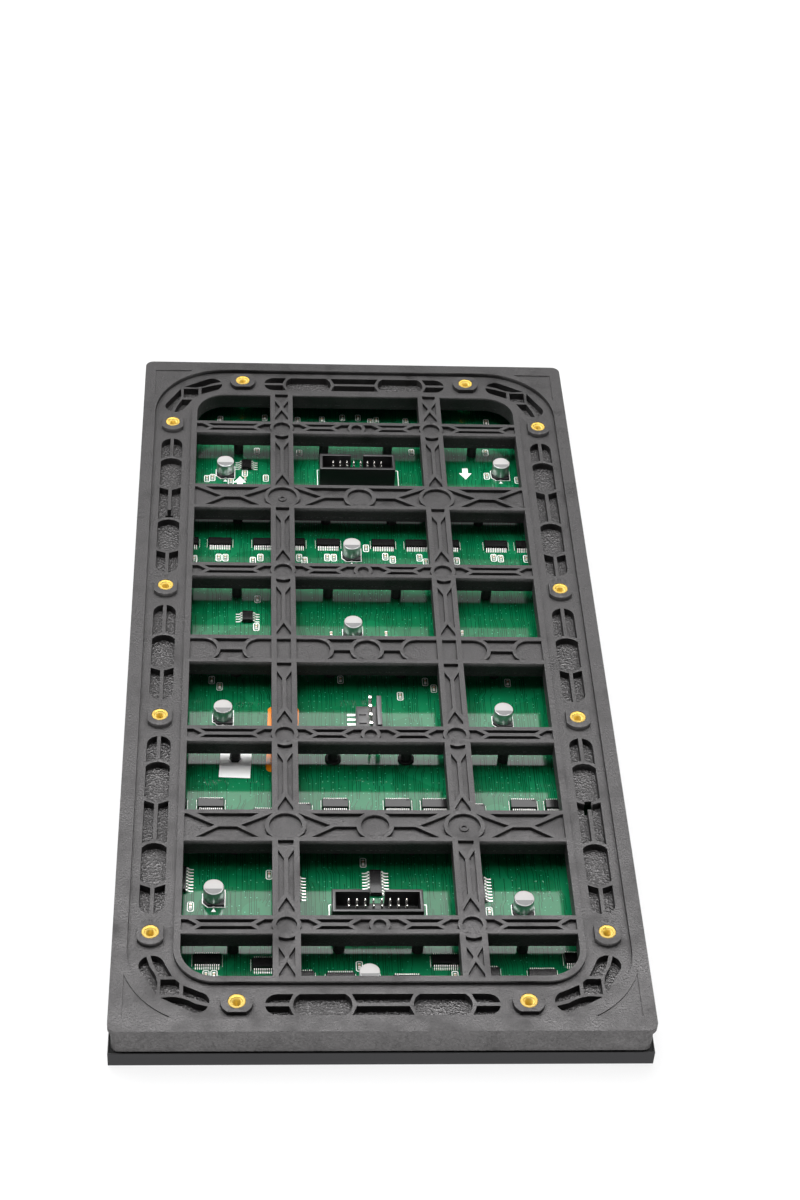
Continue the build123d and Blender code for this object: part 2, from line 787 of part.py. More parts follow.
def make_parts():
    """Every node of the module by name."""
    parts = {
        "rear_frame": make_rear_frame(),
        "front_mask": make_front_mask(),
        "circuit_board": make_circuit_board(),
        "lamp_rows": make_lamp_rows(),
        "rim_seal": make_rim_seal(),
        "threaded_inserts": make_inserts(),
        "power_housing": make_power_housing(),
        "power_blades": make_power_pins(),
        "capacitor_bases": make_can_bases(),
        "capacitor_cans": make_cans(),
        "chip_capacitors": make_chips(chip_part_places, chip_part_width, chip_part_length, chip_part_height),
        "white_label": make_white_label(),
        "orange_label": make_orange_label(),
    }
    for name, y in zip(("input", "output"), header_places_y):
        parts[f"{name}_header"] = make_header_housing(y)
        parts[f"{name}_header_pins"] = make_header_pins(y)
    for name, places in driver_rows.items():
        parts[f"driver_chips_{name}"] = make_chips(places, driver_length, driver_width, driver_height)
    for index, place in enumerate(wide_logic_places, 1):
        parts[f"decoder_chip_{index}"] = make_chips([place], logic_width, wide_logic_length, logic_height)
    for index, place in enumerate(small_logic_places, 1):
        parts[f"buffer_chip_{index}"] = make_chips([place], logic_width, small_logic_length, logic_height)
    return parts


os.makedirs("parts", exist_ok=True)
for name, shape in make_parts().items():
    export_step(shape, f"parts/{name}.step")
    print(name, "written")
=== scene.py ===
import math

import bmesh
import bpy
from mathutils import Matrix, Vector, geometry


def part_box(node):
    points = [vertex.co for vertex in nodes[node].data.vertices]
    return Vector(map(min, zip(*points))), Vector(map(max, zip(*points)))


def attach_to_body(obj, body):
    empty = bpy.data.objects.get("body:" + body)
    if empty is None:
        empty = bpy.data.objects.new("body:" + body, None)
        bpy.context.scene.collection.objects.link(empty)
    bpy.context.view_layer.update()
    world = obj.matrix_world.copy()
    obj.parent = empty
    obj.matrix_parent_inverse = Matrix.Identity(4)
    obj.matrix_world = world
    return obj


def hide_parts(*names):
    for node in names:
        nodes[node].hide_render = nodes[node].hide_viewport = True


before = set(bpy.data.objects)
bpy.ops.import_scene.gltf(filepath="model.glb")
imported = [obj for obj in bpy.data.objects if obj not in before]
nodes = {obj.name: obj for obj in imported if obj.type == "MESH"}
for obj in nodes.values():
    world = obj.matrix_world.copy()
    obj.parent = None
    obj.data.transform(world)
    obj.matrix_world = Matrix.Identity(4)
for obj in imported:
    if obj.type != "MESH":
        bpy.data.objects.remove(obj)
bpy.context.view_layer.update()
mm = 0.001
boardFront, boardTop = (corner.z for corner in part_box("circuit_board"))
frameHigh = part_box("rear_frame")[1]
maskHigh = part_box("front_mask")[1]
print("frame loaded")


# nodes and sockets

class Wire:
    # one output of a node, so that maths reads as a Python expression
    def __init__(self, graph, node, output):
        self.graph = graph
        self.node = node
        self.output = output

    @property
    def socket(self):
        return self.node.outputs[self.output]

    def other(self, output):
        return Wire(self.graph, self.node, output)

    def maths(self, operation, other=None, swapped=False):
        first, second = (other, self) if swapped else (self, other)
        return self.graph.add("ShaderNodeMath", {"operation": operation}, {0: first, 1: second})

    def __add__(self, other):
        return self.maths("ADD", other)

    def __radd__(self, other):
        return self.maths("ADD", other, True)

    def __sub__(self, other):
        return self.maths("SUBTRACT", other)

    def __rsub__(self, other):
        return self.maths("SUBTRACT", other, True)

    def __mul__(self, other):
        return self.maths("MULTIPLY", other)

    def __truediv__(self, other):
        return self.maths("DIVIDE", other)

    def __gt__(self, other):
        return self.maths("GREATER_THAN", other)

    def __lt__(self, other):
        return self.maths("LESS_THAN", other)


class Graph:
    # adds nodes to one tree: settings are set first, then values or links of the sockets
    def __init__(self, tree):
        self.tree = tree

    def add(self, kind, settings=None, inputs=None, output=0):
        node = self.tree.nodes.new(kind)
        for name, value in (settings or {}).items():
            setattr(node, name, value)
        for key, value in (inputs or {}).items():
            if value is None:
                continue
            for item in value if isinstance(value, list) else [value]:
                if isinstance(item, Wire):
                    self.tree.links.new(item.socket, node.inputs[key])
                else:
                    node.inputs[key].default_value = item
        return Wire(self, node, output)

    def place(self):
        return self.add("ShaderNodeTexCoord", None, None, "Object")

    def axes(self, vector):
        split = self.add("ShaderNodeSeparateXYZ", None, {0: vector})
        return split, split.other(1), split.other(2)

    def noise(self, place, scale, detail, roughness):
        values = {"Vector": place, "Scale": scale, "Detail": detail, "Roughness": roughness}
        return self.add("ShaderNodeTexNoise", None, values)

    def blend(self, factor, first, second):
        return self.add("ShaderNodeMix", {"data_type": "RGBA"}, {0: factor, 6: first, 7: second}, 2)

    def bump(self, height, strength, distance):
        values = {"Height": height, "Strength": strength, "Distance": distance}
        return self.add("ShaderNodeBump", None, values)


def emptyGraph(owner):
    owner.use_nodes = True
    owner.node_tree.nodes.clear()
    return Graph(owner.node_tree)


# finishes

finishes = {}


def rgb(red, green, blue):
    return (red, green, blue, 1.0)


def finish(name, values, paint=None):
    # constants are set on the shader, and paint gives what changes over the surface
    material = bpy.data.materials.new(name)
    graph = emptyGraph(material)
    inputs = dict(values)
    if paint:
        inputs.update(paint(graph))
    shader = graph.add("ShaderNodeBsdfPrincipled", None, inputs)
    graph.add("ShaderNodeOutputMaterial", None, {"Surface": shader})
    finishes[name] = material


def plainFinish(name, colour, roughness, metallic=0.0, specular=0.5):
    finish(name, {
        "Base Color": colour, "Roughness": roughness, "Metallic": metallic, "Specular IOR Level": specular,
    })


framePlastic = {
    "dark": rgb(0.002, 0.0019, 0.0019), "light": rgb(0.034, 0.033, 0.0332),
    "grain": (1500, 3.0, 0.7), "coarse": (1350, 1.0, 0.5), "cloud": (85, 4.0, 0.65),
    "grooveDepth": 4.5 * mm, "floorBand": 0.15 * mm, "border": 2.9 * mm, "speckAbove": 0.57,
    "grainHeight": 3.0, "coarseHeight": 7.0, "lightShare": 0.3, "cloudShare": 0.5, "grainShare": 0.7,
    "floorShare": 0.2, "roughness": 1.1, "speckShine": 0.2, "bump": 0.6, "bumpDepth": 0.12 * mm,
}      # here and below, a noise has a scale, a detail and a roughness


def paintFrame(graph):
    # marbled plastic, with a coarse grain on the floors of the grooves
    place = graph.place()
    x, y, z = graph.axes(place)
    floor = frameHigh.z - framePlastic["grooveDepth"]
    level = (z - floor).maths("ABSOLUTE") < framePlastic["floorBand"]
    withinX = x.maths("ABSOLUTE") < frameHigh.x - framePlastic["border"]
    withinY = y.maths("ABSOLUTE") < frameHigh.y - framePlastic["border"]
    near = level * withinX * withinY
    grain, coarse, cloud = (graph.noise(place, *framePlastic[key]) for key in ("grain", "coarse", "cloud"))
    speck = (coarse > framePlastic["speckAbove"]) * near
    height = grain * framePlastic["grainHeight"] + coarse * near * framePlastic["coarseHeight"]
    share = framePlastic["lightShare"] + (cloud - 0.5) * framePlastic["cloudShare"]
    share = share + (grain - 0.5) * framePlastic["grainShare"] + speck - near * framePlastic["floorShare"]
    return {
        "Base Color": graph.blend(share, framePlastic["dark"], framePlastic["light"]),
        "Roughness": cloud * framePlastic["roughness"] - speck * framePlastic["speckShine"],
        "Normal": graph.bump(height, framePlastic["bump"], framePlastic["bumpDepth"]),
    }


boardMask = {
    "green": rgb(0.0015, 0.115, 0.041), "pale": rgb(0.005, 0.165, 0.065), "line": rgb(0.0006, 0.046, 0.017),
    "via": rgb(0.03, 0.30, 0.15), "zones": (60, 1.0, 0.4), "waves": (500, 2.0, 0.5), "paleAbove": 0.56,
    "paleShare": 0.5, "faintest": 0.4, "lineHeight": -1.0, "viaHeight": 0.8, "waveHeight": 0.5,
    "bump": 0.5, "relief": 0.02 * mm,
}
track = {
    "step": 0.66 * mm, "width": 0.34, "run": 14.0 * mm,
    "bendStep": 9.0 * mm, "bendRun": 23.0 * mm, "bend": 2.4 * mm, "bendSharpness": 9.0,
    "bendShift": 3.0, "runShift": 7.0, "sideLeast": 0.3, "sideSpread": 0.4, "sparseness": 0.9,
}
via = {"step": 1.9 * mm, "stretch": 1.3, "size": 0.19 * mm, "chanceAbove": 0.6, "margin": 0.2}


def chanceOf(graph, *values):
    # a random share for each set of whole numbers; a number alone at the end is a seed
    cell = graph.add("ShaderNodeCombineXYZ", None, dict(enumerate(values)))
    return graph.add("ShaderNodeTexWhiteNoise", {"noise_dimensions": "3D"}, {"Vector": cell})


def trackShare(graph, x, y, zone):
    # where the tracks along Y run, with a few bends, and how dark each one is
    band = (x / track["bendStep"]).maths("FLOOR")
    along = y / track["bendRun"] + chanceOf(graph, band, 5.0) * track["bendShift"]
    ramp = (along.maths("FRACT") - 0.5) * track["bendSharpness"]
    ramp = ramp.maths("MAXIMUM", 0.0).maths("MINIMUM", 1.0)
    moved = x + ramp * (chanceOf(graph, band, along.maths("FLOOR")) - 0.5) * track["bend"]
    column = (moved / track["step"]).maths("FLOOR")
    shift = chanceOf(graph, column, 1.0)
    run = (y / track["run"] + shift * track["runShift"]).maths("FLOOR")
    pick = chanceOf(graph, column, run, 2.0)
    edge = (moved / track["step"]).maths("FRACT") - track["sideLeast"] - shift * track["sideSpread"]
    return (edge.maths("ABSOLUTE") < track["width"] / 2) * (pick > zone * track["sparseness"]), pick


def viaShare(graph, x, y):
    # a via at a random place in some of the cells of a grid
    cellX, cellY = x / via["step"], y / (via["step"] * via["stretch"])
    chance = chanceOf(graph, cellX.maths("FLOOR"), cellY.maths("FLOOR"), 3.0)
    jitterX, jitterY = graph.axes(chance.other("Color"))[:2]
    spare = 1 - 2 * via["margin"]
    stepX = cellX.maths("FRACT") - via["margin"] - jitterX * spare
    stepY = (cellY.maths("FRACT") - via["margin"] - jitterY * spare) * via["stretch"]
    reach = (stepX * stepX + stepY * stepY).maths("SQRT") * via["step"]
    return (reach < via["size"]) * (chance > via["chanceAbove"])


def paintBoard(graph):
    place = graph.place()
    x, y = graph.axes(place)[:2]
    zone, waves = (graph.noise(place, *boardMask[key]) for key in ("zones", "waves"))
    line, pick = trackShare(graph, x, y, zone)
    hole = viaShare(graph, x, y)
    pale = (zone > boardMask["paleAbove"]) * boardMask["paleShare"]
    base = graph.blend(pale, boardMask["green"], boardMask["pale"])
    dark = boardMask["faintest"] + pick * (1 - boardMask["faintest"])
    lined = graph.blend(line * dark, base, boardMask["line"])
    height = line * boardMask["lineHeight"] + hole * boardMask["viaHeight"] + waves * boardMask["waveHeight"]
    return {
        "Base Color": graph.blend(hole, lined, boardMask["via"]),
        "Normal": graph.bump(height, boardMask["bump"], boardMask["relief"]),
    }


canPaint = {
    "lid": rgb(0.43, 0.42, 0.415), "mark": rgb(0.19, 0.19, 0.19), "side": rgb(0.42, 0.44, 0.44),
    "lidDepth": 0.06 * mm, "metallic": 0.85, "sideRoughness": 0.3, "lidRoughness": 0.6,
}


def paintCan(graph):
    # bare metal on the side, and a coated lid with one dark part
    top = graph.axes(graph.place())[2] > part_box("capacitor_cans")[1].z - canPaint["lidDepth"]
    mark = graph.add("ShaderNodeAttribute", {"attribute_name": "polarity"}, None, 2)
    lid = graph.blend(mark, canPaint["lid"], canPaint["mark"])
    rougher = canPaint["lidRoughness"] - canPaint["sideRoughness"]
    return {
        "Base Color": graph.blend(top, canPaint["side"], lid),
        "Metallic": (1 - top) * canPaint["metallic"],
        "Roughness": canPaint["sideRoughness"] + top * rougher,
    }


chipPaint = {"grain": (5200, 2.0, 0.6), "roughness": 0.12, "spread": 0.08, "bump": 0.1, "bumpDepth": 0.02 * mm}


def paintChip(graph):
    grain = graph.noise(graph.place(), *chipPaint["grain"])
    return {
        "Roughness": chipPaint["roughness"] + grain * chipPaint["spread"],
        "Normal": graph.bump(grain, chipPaint["bump"], chipPaint["bumpDepth"]),
    }


brassPaint = {"collar": rgb(0.58, 0.385, 0.07), "bore": rgb(0.95, 0.76, 0.24), "depth": 0.35 * mm}


def paintBrass(graph):
    # the bore is paler, because little light reaches it
    z = graph.axes(graph.place())[2]
    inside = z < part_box("threaded_inserts")[1].z - brassPaint["depth"]
    return {"Base Color": graph.blend(inside, brassPaint["collar"], brassPaint["bore"])}


finish("framePlastic", {"Specular IOR Level": 0.2, "Specular Tint": rgb(1.0, 0.97, 0.98)}, paintFrame)
finish("boardGreen", {"Roughness": 0.09, "Specular IOR Level": 0.4}, paintBoard)
finish("insertBrass", {"Roughness": 0.5, "Specular IOR Level": 0.1}, paintBrass)
finish("canMetal", {"Specular IOR Level": 0.1}, paintCan)
finish("chipEpoxy", {"Base Color": rgb(0.007, 0.0066, 0.0068), "Specular IOR Level": 0.42}, paintChip)
plainFinish("maskPlastic", rgb(0.0035, 0.0035, 0.0037), 0.55, specular=0.2)
plainFinish("basePlastic", rgb(0.005, 0.005, 0.0055), 0.6, specular=0.15)
plainFinish("headerPlastic", rgb(0.003, 0.003, 0.0033), 0.42, specular=0.2)
plainFinish("powerPlastic", rgb(0.036, 0.035, 0.036), 0.5, specular=0.3)
plainFinish("tinMetal", rgb(0.66, 0.65, 0.63), 0.36, metallic=0.4)
plainFinish("pinMetal", rgb(0.86, 0.85, 0.82), 0.2, metallic=1.0)
plainFinish("screwSteel", rgb(0.12, 0.12, 0.13), 0.35, metallic=0.9)
plainFinish("silkWhite", rgb(0.86, 0.88, 0.85), 0.6)
plainFinish("paperWhite", rgb(0.93, 0.93, 0.92), 0.6, specular=0.3)
plainFinish("orangeFilm", rgb(0.90, 0.24, 0.005), 0.14)
plainFinish("ceramicTan", rgb(0.32, 0.22, 0.12), 0.4)
# black rubber seal; its near-black colour is also painted shade for the gap between frame and mask
plainFinish("sealRubberGapShade", rgb(0.0015, 0.0015, 0.0015), 0.7, specular=0.08)
plainFinish("lampBlack", rgb(0.012, 0.012, 0.013), 0.4)
plainFinish("lampResin", rgb(0.62, 0.61, 0.55), 0.2)
print("finishes made:", len(finishes))


# meshes

merging = {"distance": 0.002 * mm, "flat": math.radians(0.5)}      # for the loose triangles of CAD meshes
rounding = {"segments": 2, "sharpest": math.radians(32)}
softTurn = 35      # degrees; edges that turn less than this look round


def addObject(name, mesh):
    piece = bpy.data.objects.new(name, mesh)
    bpy.context.scene.collection.objects.link(piece)
    return piece


def toMesh(name, shape):
    mesh = bpy.data.meshes.new(name)
    shape.to_mesh(mesh)
    shape.free()
    return mesh


def square(halfX, halfY):
    # four corners that turn to the left
    return [(halfX * a, halfY * b) for a, b in ((-1, -1), (1, -1), (1, 1), (-1, 1))]


def joinLoops(shape, loops, closed=False):
    # walls between loops of as many points
    for low, high in zip(loops, loops[1:] + loops[:1] if closed else loops[1:]):
        for i in range(len(low)):
            j = (i + 1) % len(low)
            shape.faces.new((low[i], low[j], high[j], high[i]))


def addLoops(shape, levels, closed=False):
    # walls through loops of points, each loop at its own height
    loops = [[shape.verts.new((x, y, z)) for x, y in points] for points, z in levels]
    joinLoops(shape, loops, closed)
    return loops


def addBody(shape, levels):
    # a closed body through such loops
    loops = addLoops(shape, levels)
    shape.faces.new(loops[0][::-1])
    shape.faces.new(loops[-1])


def addBox(shape, low, high, inset=0.0):
    # a box between two corners; inset narrows its top all round
    levels = []
    for z, cut in ((low[2], 0.0), (high[2], inset)):
        left, right, near, far = low[0] + cut, high[0] - cut, low[1] + cut, high[1] - cut
        levels.append(([(left, near), (right, near), (right, far), (left, far)], z))
    addBody(shape, levels)


def addTurned(shape, profile, segments, centre=(0.0, 0.0)):
    # a body of revolution from (radius, z) points, closed on the axis where the radius is 0
    rings = []
    for radius, z in profile:
        turns = [2 * math.pi * i / segments for i in range(segments)] if radius else [0.0]
        ring = []
        for turn in turns:
            x, y = centre[0] + radius * math.cos(turn), centre[1] + radius * math.sin(turn)
            ring.append(shape.verts.new((x, y, z)))
        rings.append(ring)
    for low, high in zip(rings, rings[1:]):
        for i in range(segments):
            j = (i + 1) % segments
            loop = [low[i % len(low)], low[j % len(low)], high[j % len(high)], high[i % len(high)]]
            shape.faces.new(list(dict.fromkeys(loop)))


def addSweep(shape, points, width, thickness):
    # a flat strip that follows points in the YZ plane, as a bent lead does
    loops = []
    for index, (y, z) in enumerate(points):
        before = points[max(index - 1, 0)]
        after = points[min(index + 1, len(points) - 1)]
        along = Vector((after[0] - before[0], after[1] - before[1])).normalized()
        across = Vector((-along.y, along.x)) * thickness / 2
        corners = [(x, y + across.x * lift, z + across.y * lift) for x, lift in square(width / 2, 1)]
        loops.append([shape.verts.new(corner) for corner in corners])
    joinLoops(shape, loops)
    shape.faces.new(loops[0][::-1])
    shape.faces.new(loops[-1])


def settle(shape):
    bmesh.ops.remove_doubles(shape, verts=shape.verts, dist=1e-7)
    bmesh.ops.recalc_face_normals(shape, faces=shape.faces)


def smoothen(mesh, degrees=None):
    for face in mesh.polygons:
        face.use_smooth = True
    if degrees:
        mesh.set_sharp_from_angle(angle=math.radians(degrees))


def baked(source):
    # the object's shape with its modifiers applied; the object itself goes
    mesh = bpy.data.meshes.new_from_object(source.evaluated_get(bpy.context.evaluated_depsgraph_get()))
    bpy.data.objects.remove(source)
    return mesh


def bevelled(name, mesh, width):
    # the mesh with rounded edges, as a plain object
    smoothen(mesh)
    source = addObject(name + "Source", mesh)
    bevel = source.modifiers.new("edges", "BEVEL")
    bevel.width = width
    bevel.segments = rounding["segments"]
    bevel.limit_method = "ANGLE"
    bevel.angle_limit = rounding["sharpest"]
    bevel.harden_normals = True
    return addObject(name, baked(source))


def looseShape(node):
    # a CAD node's triangles, joined where they meet
    shape = bmesh.new()
    shape.from_mesh(nodes[node].data)
    bmesh.ops.remove_doubles(shape, verts=shape.verts, dist=merging["distance"])
    return shape


def mergedShape(node):
    # a CAD node's mesh as one closed surface without the facets' diagonals
    shape = looseShape(node)
    bmesh.ops.dissolve_limit(shape, angle_limit=merging["flat"], verts=shape.verts, edges=shape.edges)
    bmesh.ops.recalc_face_normals(shape, faces=shape.faces)
    return shape


def solidBoxes(node):
    # the lowest and highest corner of each solid in a CAD node
    shape = looseShape(node)
    left = set(shape.verts)
    boxes = []
    while left:
        stack = [left.pop()]
        found = list(stack)
        while stack:
            for edge in stack.pop().link_edges:
                for vert in edge.verts:
                    if vert in left:
                        left.remove(vert)
                        stack.append(vert)
                        found.append(vert)
        low = Vector([min(vert.co[i] for vert in found) for i in range(3)])
        high = Vector([max(vert.co[i] for vert in found) for i in range(3)])
        boxes.append((low, high))
    shape.free()
    return sorted(boxes, key=lambda box: (box[0].y, box[0].x))


def middles(node):
    # where the solids of a CAD node stand, seen from above
    return [((low.x + high.x) / 2, (low.y + high.y) / 2) for low, high in solidBoxes(node)]


def attach(piece, finishName, slotName=None, replaced=()):
    # every piece ends here: its finish, the body it rides on, and the CAD nodes it stands for
    if finishName:
        piece.data.materials.clear()
        piece.data.materials.append(finishes[finishName])
    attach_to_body(piece, "root")
    if replaced:
        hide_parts(*replaced)


def repaint(node, finishName):
    # a CAD node that already has the real shape
    mesh = nodes[node].data
    mesh.materials.clear()
    mesh.materials.append(finishes[finishName])


# geometry trees

def makeTree(name, inputs, build):
    tree = bpy.data.node_groups.new(name, "GeometryNodeTree")
    tree.interface.new_socket("Geometry", in_out="INPUT", socket_type="NodeSocketGeometry")
    for title, kind in inputs.items():
        tree.interface.new_socket(title, in_out="INPUT", socket_type=kind)
    tree.interface.new_socket("Finish", in_out="INPUT", socket_type="NodeSocketMaterial")
    tree.interface.new_socket("Geometry", in_out="OUTPUT", socket_type="NodeSocketGeometry")
    graph = Graph(tree)
    entry = graph.add("NodeGroupInput")
    loose = graph.add("GeometryNodeRealizeInstances", None, {0: build(graph, entry)})
    values = {"Geometry": loose, "Material": entry.other("Finish")}
    painted = graph.add("GeometryNodeSetMaterial", None, values)
    graph.add("NodeGroupOutput", None, {0: painted})
    return tree


def grow(name, tree, finishName, values, places=((0.0, 0.0),)):
    # runs a tree over places of x, y, z and turn, and keeps the result as a plain mesh
    rows = [(*place, 0.0, 0.0)[:4] for place in places]
    points = bpy.data.meshes.new(name + "Points")
    points.from_pydata([row[:3] for row in rows], [], [])
    turns = points.attributes.new("turn", "FLOAT", "POINT")
    turns.data.foreach_set("value", [math.radians(row[3]) for row in rows])
    source = addObject(name + "Source", points)
    modifier = source.modifiers.new("grow", "NODES")
    modifier.node_group = tree
    inputs = {"Finish": finishes[finishName], **values}
    for item in tree.interface.items_tree:
        if item.in_out == "INPUT" and item.name in inputs:
            modifier[item.identifier] = inputs[item.name]
    return addObject(name, baked(source))


def spreadOver(graph, points, template):
    turn = graph.add("GeometryNodeInputNamedAttribute", {"data_type": "FLOAT"}, {"Name": "turn"})
    euler = graph.add("ShaderNodeCombineXYZ", None, {2: turn})
    rotation = graph.add("FunctionNodeEulerToRotation", None, {0: euler})
    values = {"Points": points, "Instance": template, "Rotation": rotation}
    return graph.add("GeometryNodeInstanceOnPoints", None, values)


def buildSpread(graph, entry):
    template = graph.add("GeometryNodeObjectInfo", None, {"Object": entry.other("Template")}, "Geometry")
    return spreadOver(graph, entry.other("Geometry"), template)


def buildComb(graph, entry):
    # two rows of leads for each point, the second turned half round
    template = graph.add("GeometryNodeObjectInfo", None, {"Object": entry.other("Template")}, "Geometry")
    half = (entry.other("Count") - 1) * entry.other("Pitch") * -0.5
    start = graph.add("ShaderNodeCombineXYZ", None, {0: half})
    step = graph.add("ShaderNodeCombineXYZ", None, {0: entry.other("Pitch")})
    values = {"Count": entry.other("Count"), "Start Location": start, "Offset": step}
    line = graph.add("GeometryNodeMeshLine", None, values)
    row = graph.add("GeometryNodeInstanceOnPoints", None, {"Points": line, "Instance": template})
    turned = graph.add("GeometryNodeTransform", None, {"Geometry": row, "Rotation": (0.0, 0.0, math.pi)})
    pair = graph.add("GeometryNodeJoinGeometry", None, {0: [row, turned]})
    whole = graph.add("GeometryNodeGeometryToInstance", None, {0: pair})
    return spreadOver(graph, entry.other("Geometry"), whole)


def buildGrid(graph, entry):
    # a template at every crossing of a grid, kept between two corners
    template = graph.add("GeometryNodeObjectInfo", None, {"Object": entry.other("Template")}, "Geometry")
    values = {
        "Size X": (entry.other("Across") - 1) * entry.other("Pitch"),
        "Size Y": (entry.other("Along") - 1) * entry.other("Pitch"),
        "Vertices X": entry.other("Across"),
        "Vertices Y": entry.other("Along"),
    }
    grid = graph.add("GeometryNodeMeshGrid", None, values, "Mesh")
    spread = graph.add("GeometryNodeInstanceOnPoints", None, {"Points": grid, "Instance": template})
    loose = graph.add("GeometryNodeRealizeInstances", None, {0: spread})
    position = graph.add("GeometryNodeInputPosition")
    under = graph.add("ShaderNodeVectorMath", {"operation": "MINIMUM"}, {0: position, 1: entry.other("High")})
    between = graph.add("ShaderNodeVectorMath", {"operation": "MAXIMUM"}, {0: under, 1: entry.other("Low")})
    kept = graph.add("GeometryNodeSetPosition", None, {"Geometry": loose, "Position": between})
    values = {"Geometry": kept, "Distance": entry.other("Merge")}
    return graph.add("GeometryNodeMergeByDistance", None, values)


spreadTree = makeTree("spread", {"Template": "NodeSocketObject"}, buildSpread)
combTree = makeTree("comb", {
    "Template": "NodeSocketObject", "Count": "NodeSocketInt", "Pitch": "NodeSocketFloat",
}, buildComb)
gridTree = makeTree("grid", {
    "Template": "NodeSocketObject", "Across": "NodeSocketInt", "Along": "NodeSocketInt",
    "Pitch": "NodeSocketFloat", "Low": "NodeSocketVector", "High": "NodeSocketVector",
    "Merge": "NodeSocketFloat",
}, buildGrid)
templates = []


def keepTemplate(name, mesh):
    # a shape for the trees to repeat, removed when all is made
    template = addObject(name, mesh)
    templates.append(template)
    return template


def makeTemplate(name, shape):
    settle(shape)
    return keepTemplate(name, toMesh(name, shape))


def turnedTemplate(name, profile, segments):
    shape = bmesh.new()
    addTurned(shape, profile, segments)
    return makeTemplate(name, shape)


def boxTemplate(name, length, width, height):
    shape = bmesh.new()
    addBody(shape, [(square(length / 2, width / 2), z) for z in (0.0, height)])
    return makeTemplate(name, shape)


def spread(name, template, places, finishName, slotName=None, replaced=()):
    piece = grow(name, spreadTree, finishName, {"Template": template}, places)
    attach(piece, None, slotName, replaced)
    return piece


print("geometry trees made")


# rear frame

rearFrame = {
    "edge": 0.16 * mm, "leastTurn": 11.5, "mostTurn": 40.0, "postTurn": 62.0, "fullHeight": 6.0 * mm,
    "rounds": 3, "fullWeight": 100, "heightSlack": 0.1 * mm, "chordSlack": 0.04,
}


def plan(vector):
    return Vector((vector.x, vector.y))


def wallEdges(face):
    upright = [e for e in face.edges if plan(e.verts[0].co - e.verts[1].co).length < 1e-6]
    level = [e for e in face.edges if e not in upright]
    return upright, level


def roundWalls(shape):
    # halves each facet of the small arcs and moves the new edge out onto the arc
    moves = []
    for face in shape.faces:
        if abs(face.normal.z) > 0.01 or len(face.verts) != 4:
            continue
        upright, level = wallEdges(face)
        if len(upright) != 2 or len(level) != 2:
            continue
        chord = level[0].calc_length()
        tall = upright[0].calc_length() > rearFrame["fullHeight"] - rearFrame["heightSlack"]
        limit = rearFrame["postTurn"] if tall else rearFrame["mostTurn"]
        for edge in upright:
            others = [f for f in edge.link_faces if f is not face]
            if len(others) != 1 or abs(others[0].normal.z) > 0.01 or len(others[0].verts) != 4:
                continue
            otherLevel = wallEdges(others[0])[1]
            slack = rearFrame["chordSlack"] * chord
            if len(otherLevel) != 2 or abs(otherLevel[0].calc_length() - chord) > slack:
                continue
            turn = math.degrees(face.normal.angle(others[0].normal))
            if rearFrame["leastTurn"] < turn < limit:
                apart = others[0].calc_center_median() - face.calc_center_median()
                side = 1 if face.normal.dot(apart) < 0 else -1
                rise = chord / 2 * math.tan(math.radians(turn) / 4)
                moves.append((face, level, face.normal.copy() * side * rise))
                break
    for face, level, move in moves:
        added = [bmesh.utils.edge_split(edge, edge.verts[0], 0.5)[1] for edge in level]
        bmesh.utils.face_split(face, added[0], added[1])
        for vert in added:
            vert.co += move
    return len(moves)


def levelGroups(shape):
    # sets of level faces that touch
    level = {face for face in shape.faces if abs(face.normal.z) > 0.999}
    while level:
        stack = [level.pop()]
        group = list(stack)
        while stack:
            for edge in stack.pop().edges:
                for face in edge.link_faces:
                    if face in level:
                        level.remove(face)
                        stack.append(face)
                        group.append(face)
        yield group


def insideLoops(found):
    # the triangles between the outline's lines: each line crossed changes in to out
    edges, loops, origins = found[1], found[2], found[4]
    fixed = {tuple(sorted(edge)) for edge, origin in zip(edges, origins) if origin}
    sides = {}
    for number, loop in enumerate(loops):
        for pair in zip(loop, loop[1:] + loop[:1]):
            sides.setdefault(tuple(sorted(pair)), []).append(number)
    inside = {}
    for side, numbers in sides.items():
        if len(numbers) == 1:
            inside[numbers[0]] = side in fixed
    stack = list(inside)
    while stack:
        number = stack.pop()
        loop = loops[number]
        for pair in zip(loop, loop[1:] + loop[:1]):
            side = tuple(sorted(pair))
            for other in sides[side]:
                if other not in inside:
                    inside[other] = inside[number] != (side in fixed)
                    stack.append(other)
    return [loop for number, loop in enumerate(loops) if inside.get(number)]


